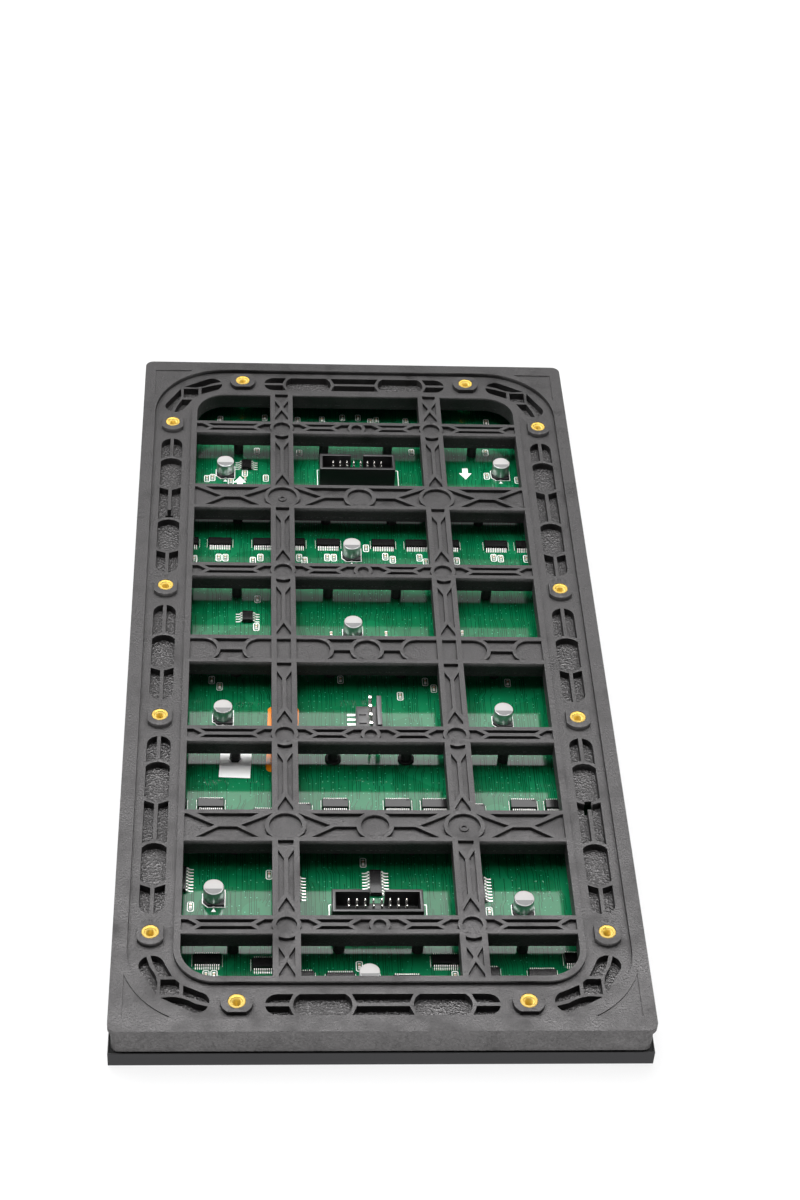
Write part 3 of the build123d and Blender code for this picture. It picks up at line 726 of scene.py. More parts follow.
def refillLevels(shape, joined):
    # fills every level face anew from its outline, because the outline has moved
    fills, spent = [], []
    for group in levelGroups(shape):
        if len(group) == 1 and len(group[0].verts) < 5:
            continue
        counts = {}
        for face in group:
            for edge in face.edges:
                counts[edge] = counts.get(edge, 0) + 1
        outline = [edge for edge, count in counts.items() if count == 1]
        corners = list(dict.fromkeys(vert for edge in outline for vert in edge.verts))
        index = {vert: i for i, vert in enumerate(corners)}
        flat = [Vector((vert.co.x / mm, vert.co.y / mm)) for vert in corners]
        pairs = [(index[edge.verts[0]], index[edge.verts[1]]) for edge in outline]
        found = geometry.delaunay_2d_cdt(flat, pairs, [], 0, 1e-7, True)
        fills.append((corners, found, group[0].normal.z > 0, corners[0].co.z))
        spent += group
    bmesh.ops.delete(shape, geom=spent, context="FACES_ONLY")
    added = []
    for corners, found, upwards, z in fills:
        verts = []
        for place, origin in zip(found[0], found[3]):
            verts.append(corners[origin[0]] if origin else shape.verts.new((place.x * mm, place.y * mm, z)))
        for loop in insideLoops(found):
            added.append(shape.faces.new([verts[i] for i in (loop if upwards else loop[::-1])]))
    bmesh.ops.delete(shape, geom=[edge for edge in shape.edges if not edge.link_faces], context="EDGES")
    shape.normal_update()
    if joined:
        known = set(added)
        shared = [edge for edge in shape.edges if len(edge.link_faces) == 2]
        within = [edge for edge in shared if known.issuperset(edge.link_faces)]
        bmesh.ops.dissolve_limit(shape, angle_limit=merging["flat"], verts=[], edges=within)


def weighted(name, mesh):
    # flat faces keep their own normal, and the small rounds take up the turn
    smoothen(mesh)
    source = addObject(name + "Source", mesh)
    source.modifiers.new("normals", "WEIGHTED_NORMAL").weight = rearFrame["fullWeight"]
    return addObject(name, baked(source))


def makeRearFrame():
    shape = mergedShape("rear_frame")
    rounds = [roundWalls(shape) for step in range(rearFrame["rounds"])]
    refillLevels(shape, True)
    print("rear frame: facets rounded", rounds)
    rounded = bevelled("rearFrameEdges", toMesh("rearFrameEdges", shape), rearFrame["edge"])
    shape = bmesh.new()
    shape.from_mesh(rounded.data)
    bpy.data.objects.remove(rounded)
    refillLevels(shape, False)
    piece = weighted("rearFrame", toMesh("rearFrame", shape))
    attach(piece, "framePlastic", "frame_plastic", ["rear_frame"])


postFoot = {
    "radius": 2.65 * mm, "height": 0.85 * mm, "edge": 0.12 * mm, "clear": 0.01 * mm, "segments": 32,
    "x": 12.0 * mm, "y": -40.0 * mm,
}
gateMark = {
    "outer": 1.5 * mm, "inner": 0.75 * mm, "rise": 0.55 * mm, "edge": 0.12 * mm, "segments": 28,
    "pocket": 1.45 * mm, "x": 28.0 * mm, "y": -80.0 * mm,
}


def makePostFeet():
    # collars where two posts stand on the board
    radius, edge = postFoot["radius"], postFoot["edge"]
    low, high = boardTop + postFoot["clear"], boardTop + postFoot["height"]
    profile = [(0, low), (radius, low), (radius, high - edge), (radius - edge, high), (0, high)]
    foot = turnedTemplate("foot", profile, postFoot["segments"])
    places = [(side * postFoot["x"], postFoot["y"]) for side in (-1, 1)]
    smoothen(spread("postFeet", foot, places, "framePlastic", "frame_plastic").data, softTurn)


def makeGateMarks():
    # small moulded rings in two of the crossings
    outer, inner, edge = gateMark["outer"], gateMark["inner"], gateMark["edge"]
    low = frameHigh.z - gateMark["pocket"]
    high = low + gateMark["rise"]
    profile = [(inner, low), (inner, high - edge), (inner + edge, high), (outer - edge, high),
               (outer, high - edge), (outer, low), (inner, low)]
    ring = turnedTemplate("gateRing", profile, gateMark["segments"])
    places = [(side * gateMark["x"], side * gateMark["y"]) for side in (1, -1)]
    smoothen(spread("gateMarks", ring, places, "framePlastic", "frame_plastic").data, softTurn)


makeRearFrame()
makePostFeet()
makeGateMarks()
print("rear frame made")


# threaded inserts

insert = {
    "outer": 2.58 * mm, "land": 1.9 * mm, "bore": 1.5 * mm, "crest": 1.28 * mm, "pitch": 0.7 * mm,
    "edge": 0.14 * mm, "sink": 0.02 * mm, "mouth": 0.5 * mm, "segments": 40, "softTurn": 28,
}


def makeInserts():
    low, high = (corner.z for corner in solidBoxes("threaded_inserts")[0])
    outer, bore, pitch, edge = (insert[key] for key in ("outer", "bore", "pitch", "edge"))
    top, z = high - insert["sink"], high - insert["mouth"]
    profile = [(bore, low), (outer, low), (outer, high - edge), (outer - edge, top),
               (insert["land"], top), (bore, z)]
    while z > low + pitch:
        profile += [(insert["crest"], z - pitch / 2), (bore, z - pitch)]
        z -= pitch
    profile.append((bore, low))
    sleeve = turnedTemplate("sleeve", profile, insert["segments"])
    places = middles("threaded_inserts")
    piece = spread("threadedInserts", sleeve, places, "insertBrass", "insert_brass", ["threaded_inserts"])
    smoothen(piece.data, insert["softTurn"])


makeInserts()
print("inserts made")


# front mask

mask = {
    "across": 40, "along": 80, "pitch": 4.0 * mm, "window": 2.3 * mm, "plateLow": 1.1 * mm,
    "plateHigh": 2.1 * mm, "wall": 0.8 * mm, "step": 0.4 * mm, "stepDepth": 1.2 * mm, "edge": 0.14 * mm,
    "merge": 0.005 * mm,
}
louvre = {
    "tip": 0.7 * mm, "nose": 0.42 * mm, "foot": 1.05 * mm, "bend": 0.12 * mm, "seat": 0.05 * mm,
    "overlap": 0.6,
}
maskScrew = {
    "boss": 2.1 * mm, "edge": 0.1 * mm, "head": 1.55 * mm, "gap": 0.05 * mm, "sink": 0.35 * mm,
    "seat": 0.4 * mm, "dome": 0.12 * mm, "crown": 0.8, "arm": 0.62, "slot": 0.32 * mm, "raised": 0.012 * mm,
    "segments": 28, "across": (12.0 * mm, 44.0 * mm), "step": 40.0 * mm, "rows": 3,
    "rowTurn": 17.0, "sideTurn": 31,
}


def cellMesh():
    # one square of the plate round one lamp: both faces and the window's walls
    outer, inner = (square(mask[key] / 2, mask[key] / 2) for key in ("pitch", "window"))
    low, high = mask["plateLow"], mask["plateHigh"]
    shape = bmesh.new()
    addLoops(shape, [(outer, high), (inner, high), (inner, low), (outer, low)])
    return toMesh("cell", shape)


def gridPlace(vert, z):
    return tuple(round(value / mm, 2) for value in (vert.co.x, vert.co.y, z))


def closeBorder(mesh):
    # joins the plate's two faces all round, inside the rim
    shape = bmesh.new()
    shape.from_mesh(mesh)
    places = {gridPlace(vert, vert.co.z): vert for vert in shape.verts}
    for edge in [edge for edge in shape.edges if len(edge.link_faces) == 1]:
        first, second = edge.verts
        if max(first.co.z, second.co.z) < mask["plateLow"] + mask["merge"]:
            upper = [places[gridPlace(vert, mask["plateHigh"])] for vert in (second, first)]
            shape.faces.new((first, second, *upper))
    bmesh.ops.recalc_face_normals(shape, faces=shape.faces)
    shape.to_mesh(mesh)
    shape.free()


def makeMaskPlate():
    insideX, insideY = (half - mask["wall"] / 2 for half in (maskHigh.x, maskHigh.y))
    plate = grow("maskPlate", gridTree, "maskPlastic", {
        "Template": keepTemplate("cell", cellMesh()), "Across": mask["across"], "Along": mask["along"],
        "Pitch": mask["pitch"], "Low": (-insideX, -insideY, 0.0), "High": (insideX, insideY, maskHigh.z),
        "Merge": mask["merge"],
    })
    closeBorder(plate.data)
    attach(plate, None, "mask_plastic", ["front_mask"])


def makeLouvres():
    tip, nose, foot = (louvre[key] / 2 for key in ("tip", "nose", "foot"))
    bend, seat = louvre["bend"], mask["plateLow"] + louvre["seat"]
    outline = [(-foot, seat), (-tip, bend), (-nose, 0.0), (nose, 0.0), (tip, bend), (foot, seat)]
    half = maskHigh.y - mask["wall"] * louvre["overlap"]
    shape = bmesh.new()
    ends = [[shape.verts.new((x, y, z)) for x, z in outline] for y in (-half, half)]
    joinLoops(shape, ends)
    shape.faces.new(ends[0])
    shape.faces.new(ends[1][::-1])
    blade = makeTemplate("blade", shape)
    count = mask["across"] - 1
    places = [((i - (count - 1) / 2) * mask["pitch"], 0.0) for i in range(count)]
    spread("maskLouvres", blade, places, "maskPlastic", "mask_plastic")


def makeMaskRim():
    # the mask's wall: a profile carried round the four sides
    edge, wall, top = mask["edge"], mask["wall"], maskHigh.z
    ledge, sill = wall - mask["step"], top - mask["stepDepth"]
    profile = [
        (edge, 0.0), (0.0, edge), (0.0, top - edge), (edge, top), (ledge - edge, top), (ledge, top - edge),
        (ledge, sill), (wall, sill), (wall, 0.0),
    ]
    shape = bmesh.new()
    addLoops(shape, [(square(maskHigh.x - cut, maskHigh.y - cut), z) for cut, z in profile], closed=True)
    settle(shape)
    attach(addObject("maskRim", toMesh("maskRim", shape)), "maskPlastic", "mask_plastic")


def makeMaskScrews():
    boss, edge, head, sink = (maskScrew[key] for key in ("boss", "edge", "head", "sink"))
    base, hole, floor = mask["plateLow"] + edge, head + maskScrew["gap"], sink + maskScrew["seat"]
    collar = turnedTemplate("collar", [
        (0, base), (boss, base), (boss, edge), (boss - edge, 0.0), (hole + edge, 0.0), (hole, edge),
        (hole, floor), (0, floor),
    ], maskScrew["segments"])
    under = floor - maskScrew["gap"]
    screw = turnedTemplate("screwHead", [
        (0, under), (head, under), (head, sink + maskScrew["dome"]),
        (head * maskScrew["crown"], sink), (0, sink),
    ], maskScrew["segments"])
    # a flat black cross raised a hair on each head: painted shade where the cross recess is
    shape = bmesh.new()
    long, short = head * maskScrew["arm"], maskScrew["slot"] / 2
    for x, y in ((long, short), (short, long)):
        addBox(shape, (-x, -y, sink - maskScrew["raised"]), (x, y, sink + maskScrew["gap"]))
    cross = makeTemplate("screwCross", shape)
    places = []
    for row in range(-maskScrew["rows"], maskScrew["rows"] + 1):
        for x in maskScrew["across"]:
            for side in (-1, 1):
                turn = maskScrew["rowTurn"] * row + maskScrew["sideTurn"] * side
                places.append((side * x, row * maskScrew["step"], 0.0, turn))
    smoothen(spread("screwCollars", collar, places, "maskPlastic", "mask_plastic").data, softTurn)
    smoothen(spread("maskScrews", screw, places, "screwSteel").data, softTurn)
    # the black crosses are painted shade for the screws' recesses
    spread("screwRecesses", cross, places, "lampBlack")


makeMaskPlate()
makeLouvres()
makeMaskRim()
makeMaskScrews()
print("front mask made")


# lamps

lamp = {
    "size": 1.9 * mm, "front": 1.0 * mm, "wall": 0.22 * mm, "recess": 0.18 * mm, "gap": 0.01 * mm,
    "resinDepth": 0.13 * mm, "clear": 0.005 * mm,
}


def makeLamps():
    half, inner = lamp["size"] / 2, lamp["size"] / 2 - lamp["wall"]
    front = lamp["front"]
    floor = front + lamp["recess"]
    shape = bmesh.new()
    addBody(shape, [
        (square(half, half), boardFront), (square(half, half), front), (square(inner, inner), front),
        (square(inner, inner), floor),
    ])
    shell = makeTemplate("lampShell", shape)
    shape = bmesh.new()
    size = inner - lamp["gap"]
    addBox(shape, (-size, -size, floor - lamp["resinDepth"]), (size, size, floor - lamp["clear"]))
    window = makeTemplate("lampWindow", shape)
    grid = {
        "Across": mask["across"], "Along": mask["along"], "Pitch": mask["pitch"], "Low": (-1.0, -1.0, -1.0),
        "High": (1.0, 1.0, 1.0), "Merge": 0.0,
    }
    shells = grow("lampShells", gridTree, "lampBlack", {"Template": shell, **grid})
    attach(shells, None, "lamp_resin", ["lamp_rows"])
    windows = grow("lampWindows", gridTree, "lampResin", {"Template": window, **grid})
    attach(windows, None, "lamp_resin")


makeLamps()
print("lamps made")


# circuit board, seal and labels

repaint("circuit_board", "boardGreen")
# the seal's near-black colour is also painted shade for the gap between frame and mask
repaint("rim_seal", "sealRubberGapShade")
repaint("white_label", "paperWhite")
repaint("orange_label", "orangeFilm")
print("board, seal and labels painted")


# chips

chip = {
    "standoff": 0.12 * mm, "draft": 0.12 * mm, "chamfer": 0.26 * mm, "dimple": 0.55 * mm,
    "dimpleDepth": 0.22 * mm, "dimpleInset": 1.05 * mm, "dimpleSegments": 16,
}
leadShape = {
    "root": 0.15 * mm, "level": 0.75 * mm, "seat": 0.02 * mm, "knee": 0.42 * mm,
    "bend": (0.62 * mm, 0.15 * mm), "rise": (0.75 * mm, 0.12 * mm), "heel": 0.92 * mm,
    "padStart": 0.5 * mm, "padHeight": 0.06 * mm, "padEdge": 0.04 * mm,
}
driverLeads = {
    "count": 12, "pitch": 0.635 * mm, "width": 0.22 * mm, "thickness": 0.16 * mm, "span": 6.0 * mm,
    "pad": 3.35 * mm,
}
logicLeads = {
    "pitch": 1.27 * mm, "width": 0.38 * mm, "thickness": 0.18 * mm, "span": 6.0 * mm, "pad": 4.1 * mm,
}
decoderLeads = {"count": 8, **logicLeads}
bufferLeads = {"count": 4, **logicLeads}
driverRows = ["driver_chips_upper", "driver_chips_middle", "driver_chips_lower"]


def chipMesh(name, size):
    # two halves that taper away from the parting line, with a round mark at pin 1
    low, high = boardTop + chip["standoff"], boardTop + size[2]
    cuts = ((low, chip["draft"]), ((low + high) / 2, 0.0), (high, chip["chamfer"]))
    shape = bmesh.new()
    addBody(shape, [(square(size[0] / 2 - cut, size[1] / 2 - cut), z) for z, cut in cuts])
    settle(shape)
    body = addObject(name + "Body", toMesh(name, shape))
    depth, radius = chip["dimpleDepth"], chip["dimple"]
    centre = [side / 2 - chip["dimpleInset"] for side in size[:2]]
    profile = [(0, high - depth), (radius, high - depth), (radius, high + depth), (0, high + depth)]
    shape = bmesh.new()
    addTurned(shape, profile, chip["dimpleSegments"], centre)
    settle(shape)
    cutter = addObject(name + "Cutter", toMesh(name + "Cutter", shape))
    cut = body.modifiers.new("mark", "BOOLEAN")
    cut.object = cutter
    cut.operation = "DIFFERENCE"
    cut.solver = "EXACT"
    mesh = baked(body)
    bpy.data.objects.remove(cutter)
    return mesh


def leadTemplate(name, lead, bodyWidth):
    # a gull-wing lead that leaves the body towards -Y, and its pad
    side = leadShape["root"] - bodyWidth / 2
    level = boardTop + leadShape["level"]
    foot = boardTop + lead["thickness"] / 2 + leadShape["seat"]
    bend, rise = leadShape["bend"], leadShape["rise"]
    points = [(side, level), (side - leadShape["knee"], level), (side - bend[0], level - bend[1]),
              (side - rise[0], foot + rise[1]), (side - leadShape["heel"], foot), (-lead["span"] / 2, foot)]
    shape = bmesh.new()
    addSweep(shape, points, lead["width"], lead["thickness"])
    half = lead["width"] / 2
    far = (half, side - leadShape["padStart"], boardTop + leadShape["padHeight"])
    addBox(shape, (-half, -lead["pad"], boardTop), far, leadShape["padEdge"])
    return makeTemplate(name, shape)


def makeChips(kind, names, leads, turn):
    # turn is 90 for chips whose leads point along X
    low, high = solidBoxes(names[0])[0]
    size = high - low
    if turn:
        size = Vector((size.y, size.x, size.z))
    body = keepTemplate(kind + "Body", chipMesh(kind, size))
    lead = leadTemplate(kind + "Lead", leads, size.y)
    places = [(x, y, 0.0, turn) for name in names for x, y in middles(name)]
    spread(kind + "Chips", body, places, "chipEpoxy", "chip_epoxy", names)
    values = {"Template": lead, "Count": leads["count"], "Pitch": leads["pitch"]}
    attach(grow(kind + "Leads", combTree, "tinMetal", values, places), None, "contact_metal")


makeChips("driver", driverRows, driverLeads, 0.0)
makeChips("decoder", [f"decoder_chip_{i}" for i in range(1, 5)], decoderLeads, 90.0)
makeChips("buffer", [f"buffer_chip_{i}" for i in range(1, 3)], bufferLeads, 90.0)
print("chips made")


# capacitors

can = {
    "edge": 0.3 * mm, "segments": 40, "segment": 0.7 * mm, "baseEdge": 0.12 * mm,
    "crimp": [(0.25, 0.0), (0.05, 0.2), (0.0, 0.45), (0.12, 0.75), (0.12, 0.9), (0.0, 1.15)],
}      # the crimp's points are its inset and height in mm
canLead = {"length": 2.1 * mm, "width": 0.7 * mm, "height": 0.25 * mm, "offset": 2.6 * mm}


def canMesh(radius, bottom, top):
    # the can, with the dark part of its lid marked in an attribute
    profile = [(0, bottom)] + [(radius - inset * mm, bottom + rise * mm) for inset, rise in can["crimp"]]
    for turn in (90, 60, 30, 0):
        sine, cosine = math.sin(math.radians(turn)), math.cos(math.radians(turn))
        profile.append((radius - can["edge"] * (1 - sine), top - can["edge"] * (1 - cosine)))
    shape = bmesh.new()
    addTurned(shape, profile + [(0, top)], can["segments"])
    settle(shape)
    lid = [face for face in shape.faces if face.normal.z > 0.99]
    edges = {edge for face in lid for edge in face.edges}
    verts = {vert for face in lid for vert in face.verts}
    chord = (0, -can["segment"], top)
    bmesh.ops.bisect_plane(shape, geom=[*lid, *edges, *verts], plane_co=chord, plane_no=(0, 1, 0))
    mesh = toMesh("canBody", shape)
    marks = [float(face.normal.z > 0.99 and face.center.y < chord[1]) for face in mesh.polygons]
    mesh.attributes.new("polarity", "FLOAT", "FACE").data.foreach_set("value", marks)
    return mesh


def makeCapacitors():
    low, high = solidBoxes("capacitor_cans")[0]
    centres = middles("capacitor_cans")
    body = keepTemplate("canBody", canMesh((high.y - low.y) / 2, low.z, high.z))
    cans = spread("capacitorCans", body, centres, "canMetal", "can_metal", ["capacitor_cans"])
    smoothen(cans.data, softTurn)
    shape = mergedShape("capacitor_bases")
    base = bevelled("capacitorBases", toMesh("capacitorBases", shape), can["baseEdge"])
    attach(base, "basePlastic", "base_plastic", ["capacitor_bases"])
    lead = boxTemplate("canLead", canLead["length"], canLead["width"], canLead["height"])
    places = [(x, y + side * canLead["offset"], boardTop, 90.0) for x, y in centres for side in (-1, 1)]
    spread("capacitorLeads", lead, places, "tinMetal", "contact_metal")


makeCapacitors()
print("capacitors made")


# connectors

header = {"edge": 0.18 * mm, "pinPoint": 0.5 * mm, "pinTaper": 0.6}
power = {"housingEdge": 0.16 * mm, "bladeEdge": 0.18 * mm}


def makeBevelled(name, node, edge, finishName, slotName):
    piece = bevelled(name, toMesh(name, mergedShape(node)), edge)
    attach(piece, finishName, slotName, [node])


def makeHeader(kind):
    node = kind + "_header"
    makeBevelled(kind + "Header", node, header["edge"], "headerPlastic", "connector_plastic")
    low, high = solidBoxes(node + "_pins")[0]
    half, neck = (high.x - low.x) / 2, high.z - header["pinPoint"]
    shape = bmesh.new()
    addBox(shape, (-half, -half, low.z), (half, half, neck))
    addBox(shape, (-half, -half, neck), (half, half, high.z), half * header["pinTaper"])
    pin = makeTemplate(kind + "Pin", shape)
    places = middles(node + "_pins")
    spread(kind + "HeaderPins", pin, places, "pinMetal", "contact_metal", [node + "_pins"])


makeHeader("input")
makeHeader("output")
makeBevelled("powerHousing", "power_housing", power["housingEdge"], "powerPlastic", "connector_plastic")
makeBevelled("powerBlades", "power_blades", power["bladeEdge"], "pinMetal", "blade_metal")
print("connectors made")


# small parts, pads and printed lines

printed = {
    "height": 0.03 * mm, "line": 0.27 * mm, "driverLine": 0.11 * mm, "arrowDown": (41.0, 108.6),
    "arrowUp": (-43.4, 102.2), "headerAcross": 15.2 * mm, "headerAlong": 5.9 * mm, "headerShift": 0.5 * mm,
    "headerRadii": (0.3 * mm, 0.2 * mm), "driverSide": 4.6 * mm, "driverHalf": 2.2 * mm,
    "canHalf": 3.6 * mm, "canCut": 1.7 * mm, "canSlope": 0.4, "canMark": 4.5 * mm, "cornerSteps": 5,
}
arrowOutline = [(-1.05, 3.2), (-1.05, 0.3), (-2.35, 0.3), (0.0, -3.3), (2.35, 0.3), (1.05, 0.3), (1.05, 3.2)]
markOutline = [(-0.75, -0.75), (0.75, -0.75), (0.0, 0.65)]
smallPart = {
    "length": 1.6 * mm, "width": 0.8 * mm, "height": 0.6 * mm, "cap": 0.35 * mm, "capEdge": 0.03 * mm,
    "inset": 0.02 * mm, "solder": 0.35 * mm, "solderHeight": 0.1 * mm, "solderEdge": 0.04 * mm,
    "solderWider": 0.05 * mm,
}
partRing = {"across": 1.05 * mm, "along": 1.95 * mm, "radius": 0.6 * mm}
powerPad = {
    "length": 2.8 * mm, "width": 0.9 * mm, "height": 0.04 * mm, "x": -5.4, "rows": (-19.5, -21.7, -23.9),
}
# places in mm of small parts beside those that the CAD has, with and without a printed ring
ringedPlaces = [
    (-51.1, 139.8), (-34.2, 141.0), (-21.6, 139.8), (-12.3, 140.4), (-4.4, 141.6), (1.6, 141.8), (8.6, 140.5),
    (19.9, 140.0), (51.0, 140.0), (-55.6, 103.9), (-33.8, 104.6), (-46.8, 102.6), (49.0, 107.4), (60.4, 105.2),
    (-37.2, 120.5), (-21.1, 119.8), (21.3, 121.0), (49.5, 121.4), (-50.7, 59.6), (-48.3, 59.6), (-35.8, 59.8),
    (-38.5, 58.1), (-21.9, 60.0), (-20.0, 58.4), (-11.8, 60.2), (-9.5, 60.2), (9.1, 61.0), (11.7, 59.4),
    (21.4, 60.6), (23.6, 58.2), (34.8, 59.0), (48.3, 61.0), (50.8, 60.6), (60.1, 60.6), (-59.4, 58.8),
    (-36.8, 37.7), (-52.2, -3.2), (-8.6, -2.6), (20.2, -3.4), (48.4, -3.6), (-5.9, -126.4), (-52.0, -129.8),
    (-49.6, -129.8), (22.9, -130.2),
]
barePlaces = [(-11.3, 19.9), (7.8, 20.3), (34.4, 21.0), (-41.5, 104.4)]


def onBoard(places):
    return [(x * mm, y * mm, boardTop) for x, y in places]


def roundedLoop(halfX, halfY, radius):
    points = []
    for quarter, (a, b) in enumerate(((1, 1), (-1, 1), (-1, -1), (1, -1))):
        for i in range(printed["cornerSteps"] + 1):
            turn = math.pi / 2 * (quarter + i / printed["cornerSteps"])
            x, y = radius * math.cos(turn), radius * math.sin(turn)
            points.append((a * (halfX - radius) + x, b * (halfY - radius) + y))
    return points


def addRing(shape, outer, inner, base, centre=(0.0, 0.0)):
    # a flat closed line between two loops of as many points
    high = base + printed["height"]
    levels = []
    for points, z in ((outer, base), (outer, high), (inner, high), (inner, base)):
        levels.append(([(x + centre[0], y + centre[1]) for x, y in points], z))
    addLoops(shape, levels, closed=True)


def addPlate(shape, points):
    # a flat printed shape on the board
    addBody(shape, [(points, boardTop), (points, boardTop + printed["height"])])


def makeSmallParts():
    own = [(x, y, boardTop) for x, y in middles("chip_capacitors")]
    ringed = own + onBoard(ringedPlaces)
    places = ringed + onBoard(barePlaces)
    width, end, height = smallPart["width"] / 2, smallPart["length"] / 2, smallPart["height"]
    start, inset = end - smallPart["cap"], smallPart["inset"]
    shape = bmesh.new()
    addBox(shape, (inset - width, -start, inset), (width - inset, start, height - inset))
    body = makeTemplate("smallBody", shape)
    spread("chipCapacitors", body, places, "ceramicTan", "chip_ceramic", ["chip_capacitors"])
    shape = bmesh.new()
    wider, reach = width + smallPart["solderWider"], end + smallPart["solder"]
    for side in (-1, 1):
        near, far = sorted((side * start, side * end))
        addBox(shape, (-width, near, 0.0), (width, far, height), smallPart["capEdge"])
        near, far = sorted((side * end, side * reach))
        addBox(shape, (-wider, near, 0.0), (wider, far, smallPart["solderHeight"]), smallPart["solderEdge"])
    caps = makeTemplate("smallCaps", shape)
    spread("chipCapacitorEnds", caps, places, "tinMetal", "contact_metal")
    loops = []
    for cut in (0.0, printed["line"]):
        loops.append(roundedLoop(*(partRing[key] - cut for key in ("across", "along", "radius"))))
    shape = bmesh.new()
    addRing(shape, *loops, 0.0)
    spread("partOutlines", makeTemplate("partOutline", shape), ringed, "silkWhite")
    pad = boxTemplate("powerPad", powerPad["length"], powerPad["width"], powerPad["height"])
    places = onBoard([(powerPad["x"], y) for y in powerPad["rows"]])
    spread("powerPads", pad, places, "tinMetal", "contact_metal")


def addArrow(shape, centre, side):
    # a block arrow along Y
    addPlate(shape, [((centre[0] + x) * mm, (centre[1] - side * y) * mm) for x, y in arrowOutline])


def addHeaderOutline(shape, node):
    low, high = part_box(node)
    centre = ((low.x + high.x) / 2 + printed["headerShift"], (low.y + high.y) / 2)
    loops = []
    for cut, radius in zip((0.0, printed["line"]), printed["headerRadii"]):
        loops.append(roundedLoop(printed["headerAcross"] - cut, printed["headerAlong"] - cut, radius))
    addRing(shape, *loops, boardTop, centre)


def addDriverLines(shape, x, y):
    thin, half = printed["driverLine"] / 2, printed["driverHalf"]
    for side in (-1, 1):
        edge = x + side * printed["driverSide"]
        addPlate(shape, [(edge + a, y + b) for a, b in square(thin, half)])


def addCanOutline(shape, x, y):
    # a square with two cut corners round the base, and a small mark beside it
    loops = []
    for cut in (0.0, printed["line"]):
        edge, corner = printed["canHalf"] - cut, printed["canCut"] - cut * printed["canSlope"]
        loops.append([(edge, -edge), (edge, edge), (corner - edge, edge), (-edge, edge - corner),
                      (-edge, corner - edge), (corner - edge, -edge)])
    addRing(shape, *loops, boardTop, (x, y))
    addPlate(shape, [(x + a * mm, y - printed["canMark"] + b * mm) for a, b in markOutline])


def makePrint():
    shape = bmesh.new()
    addArrow(shape, printed["arrowDown"], -1)
    addArrow(shape, printed["arrowUp"], 1)
    addHeaderOutline(shape, "input_header")
    addHeaderOutline(shape, "output_header")
    for node in driverRows:
        for x, y in middles(node):
            addDriverLines(shape, x, y)
    for x, y in middles("capacitor_cans"):
        addCanOutline(shape, x, y)
    settle(shape)
    attach(addObject("printedLines", toMesh("printedLines", shape)), "silkWhite")


makeSmallParts()
makePrint()
print("small parts and printed lines made")

for template in templates:
    bpy.data.objects.remove(template)


# floor, light and camera

studio = {"half": 4.0, "paper": rgb(0.80, 0.80, 0.81), "white": rgb(1, 1, 1), "glow": 0.8, "world": 0.12}
lamps = {
    "overhead": {"place": (-0.3, 0.42, 1.5), "size": (1.4, 1.4), "power": 40.0, "unseen": "visible_glossy"},
    "softbox": {"place": (0.0, 0.62, 1.1), "size": (0.8, 0.8), "power": 6.6, "unseen": None},
    "canopy": {"place": (0.0, 0.12, 1.0), "size": (2.0, 0.7), "power": 128.0, "unseen": "visible_diffuse"},
    "front": {"place": (0.0, -1.3, 0.05), "size": (1.6, 0.08), "power": 150.0, "unseen": "visible_glossy"},
}
camera = {
    "place": (-0.04234, -0.58377, 0.56996), "lens": 71.62, "sensor": 36.0, "nearest": 0.01,
    "right": (0.997766, -0.042679, 0.051396), "forward": (0.066164, 0.737739, -0.671836),
}


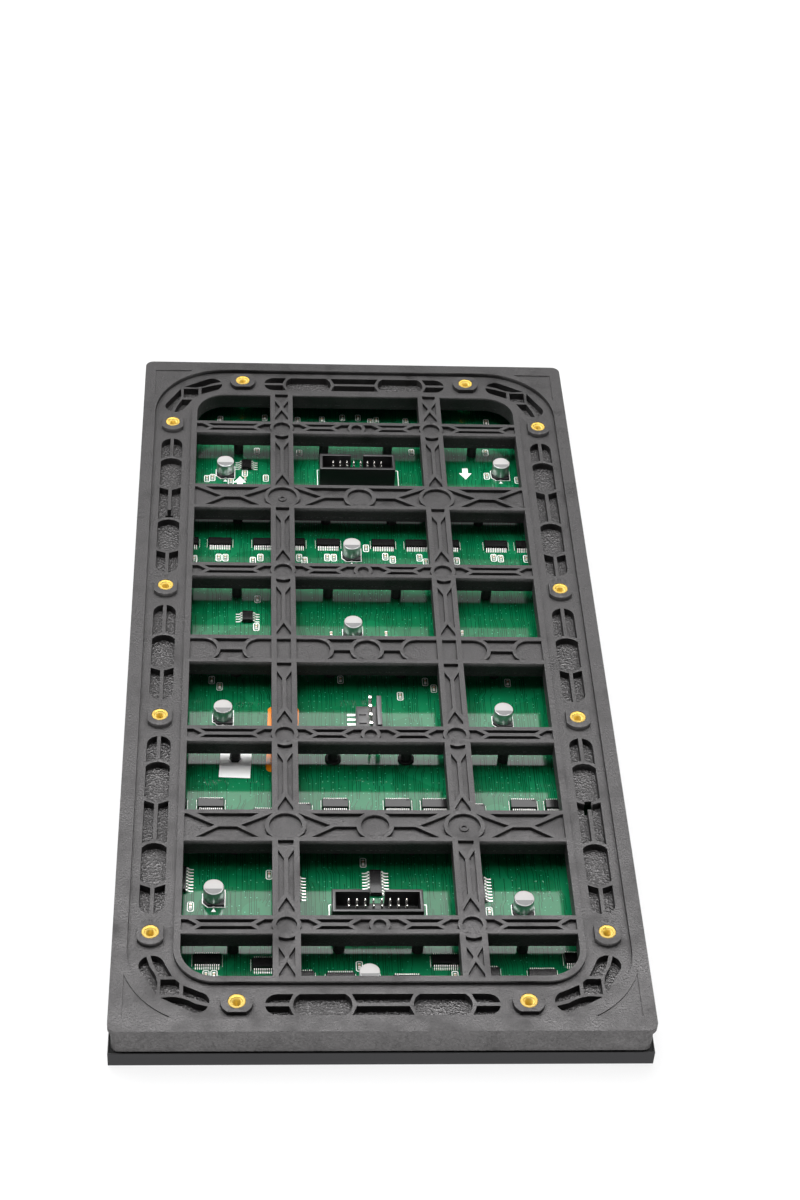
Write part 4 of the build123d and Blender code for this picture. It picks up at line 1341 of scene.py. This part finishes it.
def makeFloor():
    # plain paper that looks white to the camera and in reflections, and keeps the shadow
    shape = bmesh.new()
    shape.faces.new([shape.verts.new((x, y, 0.0)) for x, y in square(studio["half"], studio["half"])])
    floor = addObject("floor", toMesh("floor", shape))
    material = bpy.data.materials.new("floorPaper")
    graph = emptyGraph(material)
    paper = graph.add("ShaderNodeBsdfDiffuse", None, {"Color": studio["paper"]})
    glow = graph.add("ShaderNodeEmission", None, {"Color": studio["white"], "Strength": 1.0})
    path = graph.add("ShaderNodeLightPath")
    share = (path.other("Is Camera Ray") * studio["glow"]).maths("MAXIMUM", path.other("Is Glossy Ray"))
    both = graph.add("ShaderNodeMixShader", None, {0: share, 1: paper, 2: glow})
    graph.add("ShaderNodeOutputMaterial", None, {"Surface": both})
    floor.data.materials.append(material)


def makeWorld():
    world = bpy.data.worlds.new("studio")
    bpy.context.scene.world = world
    graph = emptyGraph(world)
    path = graph.add("ShaderNodeLightPath")
    seen = path.other("Is Camera Ray").maths("MAXIMUM", path.other("Is Glossy Ray"))
    seen = seen.maths("MAXIMUM", path.other("Is Transmission Ray"))
    strength = studio["world"] + seen * (1 - studio["world"])
    light = graph.add("ShaderNodeBackground", None, {"Color": studio["white"], "Strength": strength})
    graph.add("ShaderNodeOutputWorld", None, {"Surface": light})


def makeLamp(name, values):
    # an area lamp that faces the origin, hidden from one kind of ray
    light = bpy.data.lights.new(name, "AREA")
    light.shape = "RECTANGLE"
    light.size, light.size_y = values["size"]
    light.energy = values["power"]
    holder = bpy.data.objects.new(name, light)
    bpy.context.scene.collection.objects.link(holder)
    if values["unseen"]:
        setattr(holder, values["unseen"], False)
    holder.location = values["place"]
    holder.rotation_euler = holder.location.to_track_quat("Z", "Y").to_euler()


def makeCamera():
    data = bpy.data.cameras.new("camera")
    data.sensor_fit = "VERTICAL"
    data.sensor_height = camera["sensor"]
    data.lens = camera["lens"]
    data.clip_start = camera["nearest"]
    holder = bpy.data.objects.new("camera", data)
    bpy.context.scene.collection.objects.link(holder)
    forward = Vector(camera["forward"]).normalized()
    right = Vector(camera["right"])
    right = (right - forward * right.dot(forward)).normalized()
    turn = Matrix((right, right.cross(forward), -forward)).transposed()
    holder.matrix_world = Matrix.Translation(camera["place"]) @ turn.to_4x4()
    bpy.context.scene.camera = holder


makeFloor()
makeWorld()
for name, values in lamps.items():
    makeLamp(name, values)
makeCamera()
bpy.context.scene.view_settings.view_transform = "Standard"
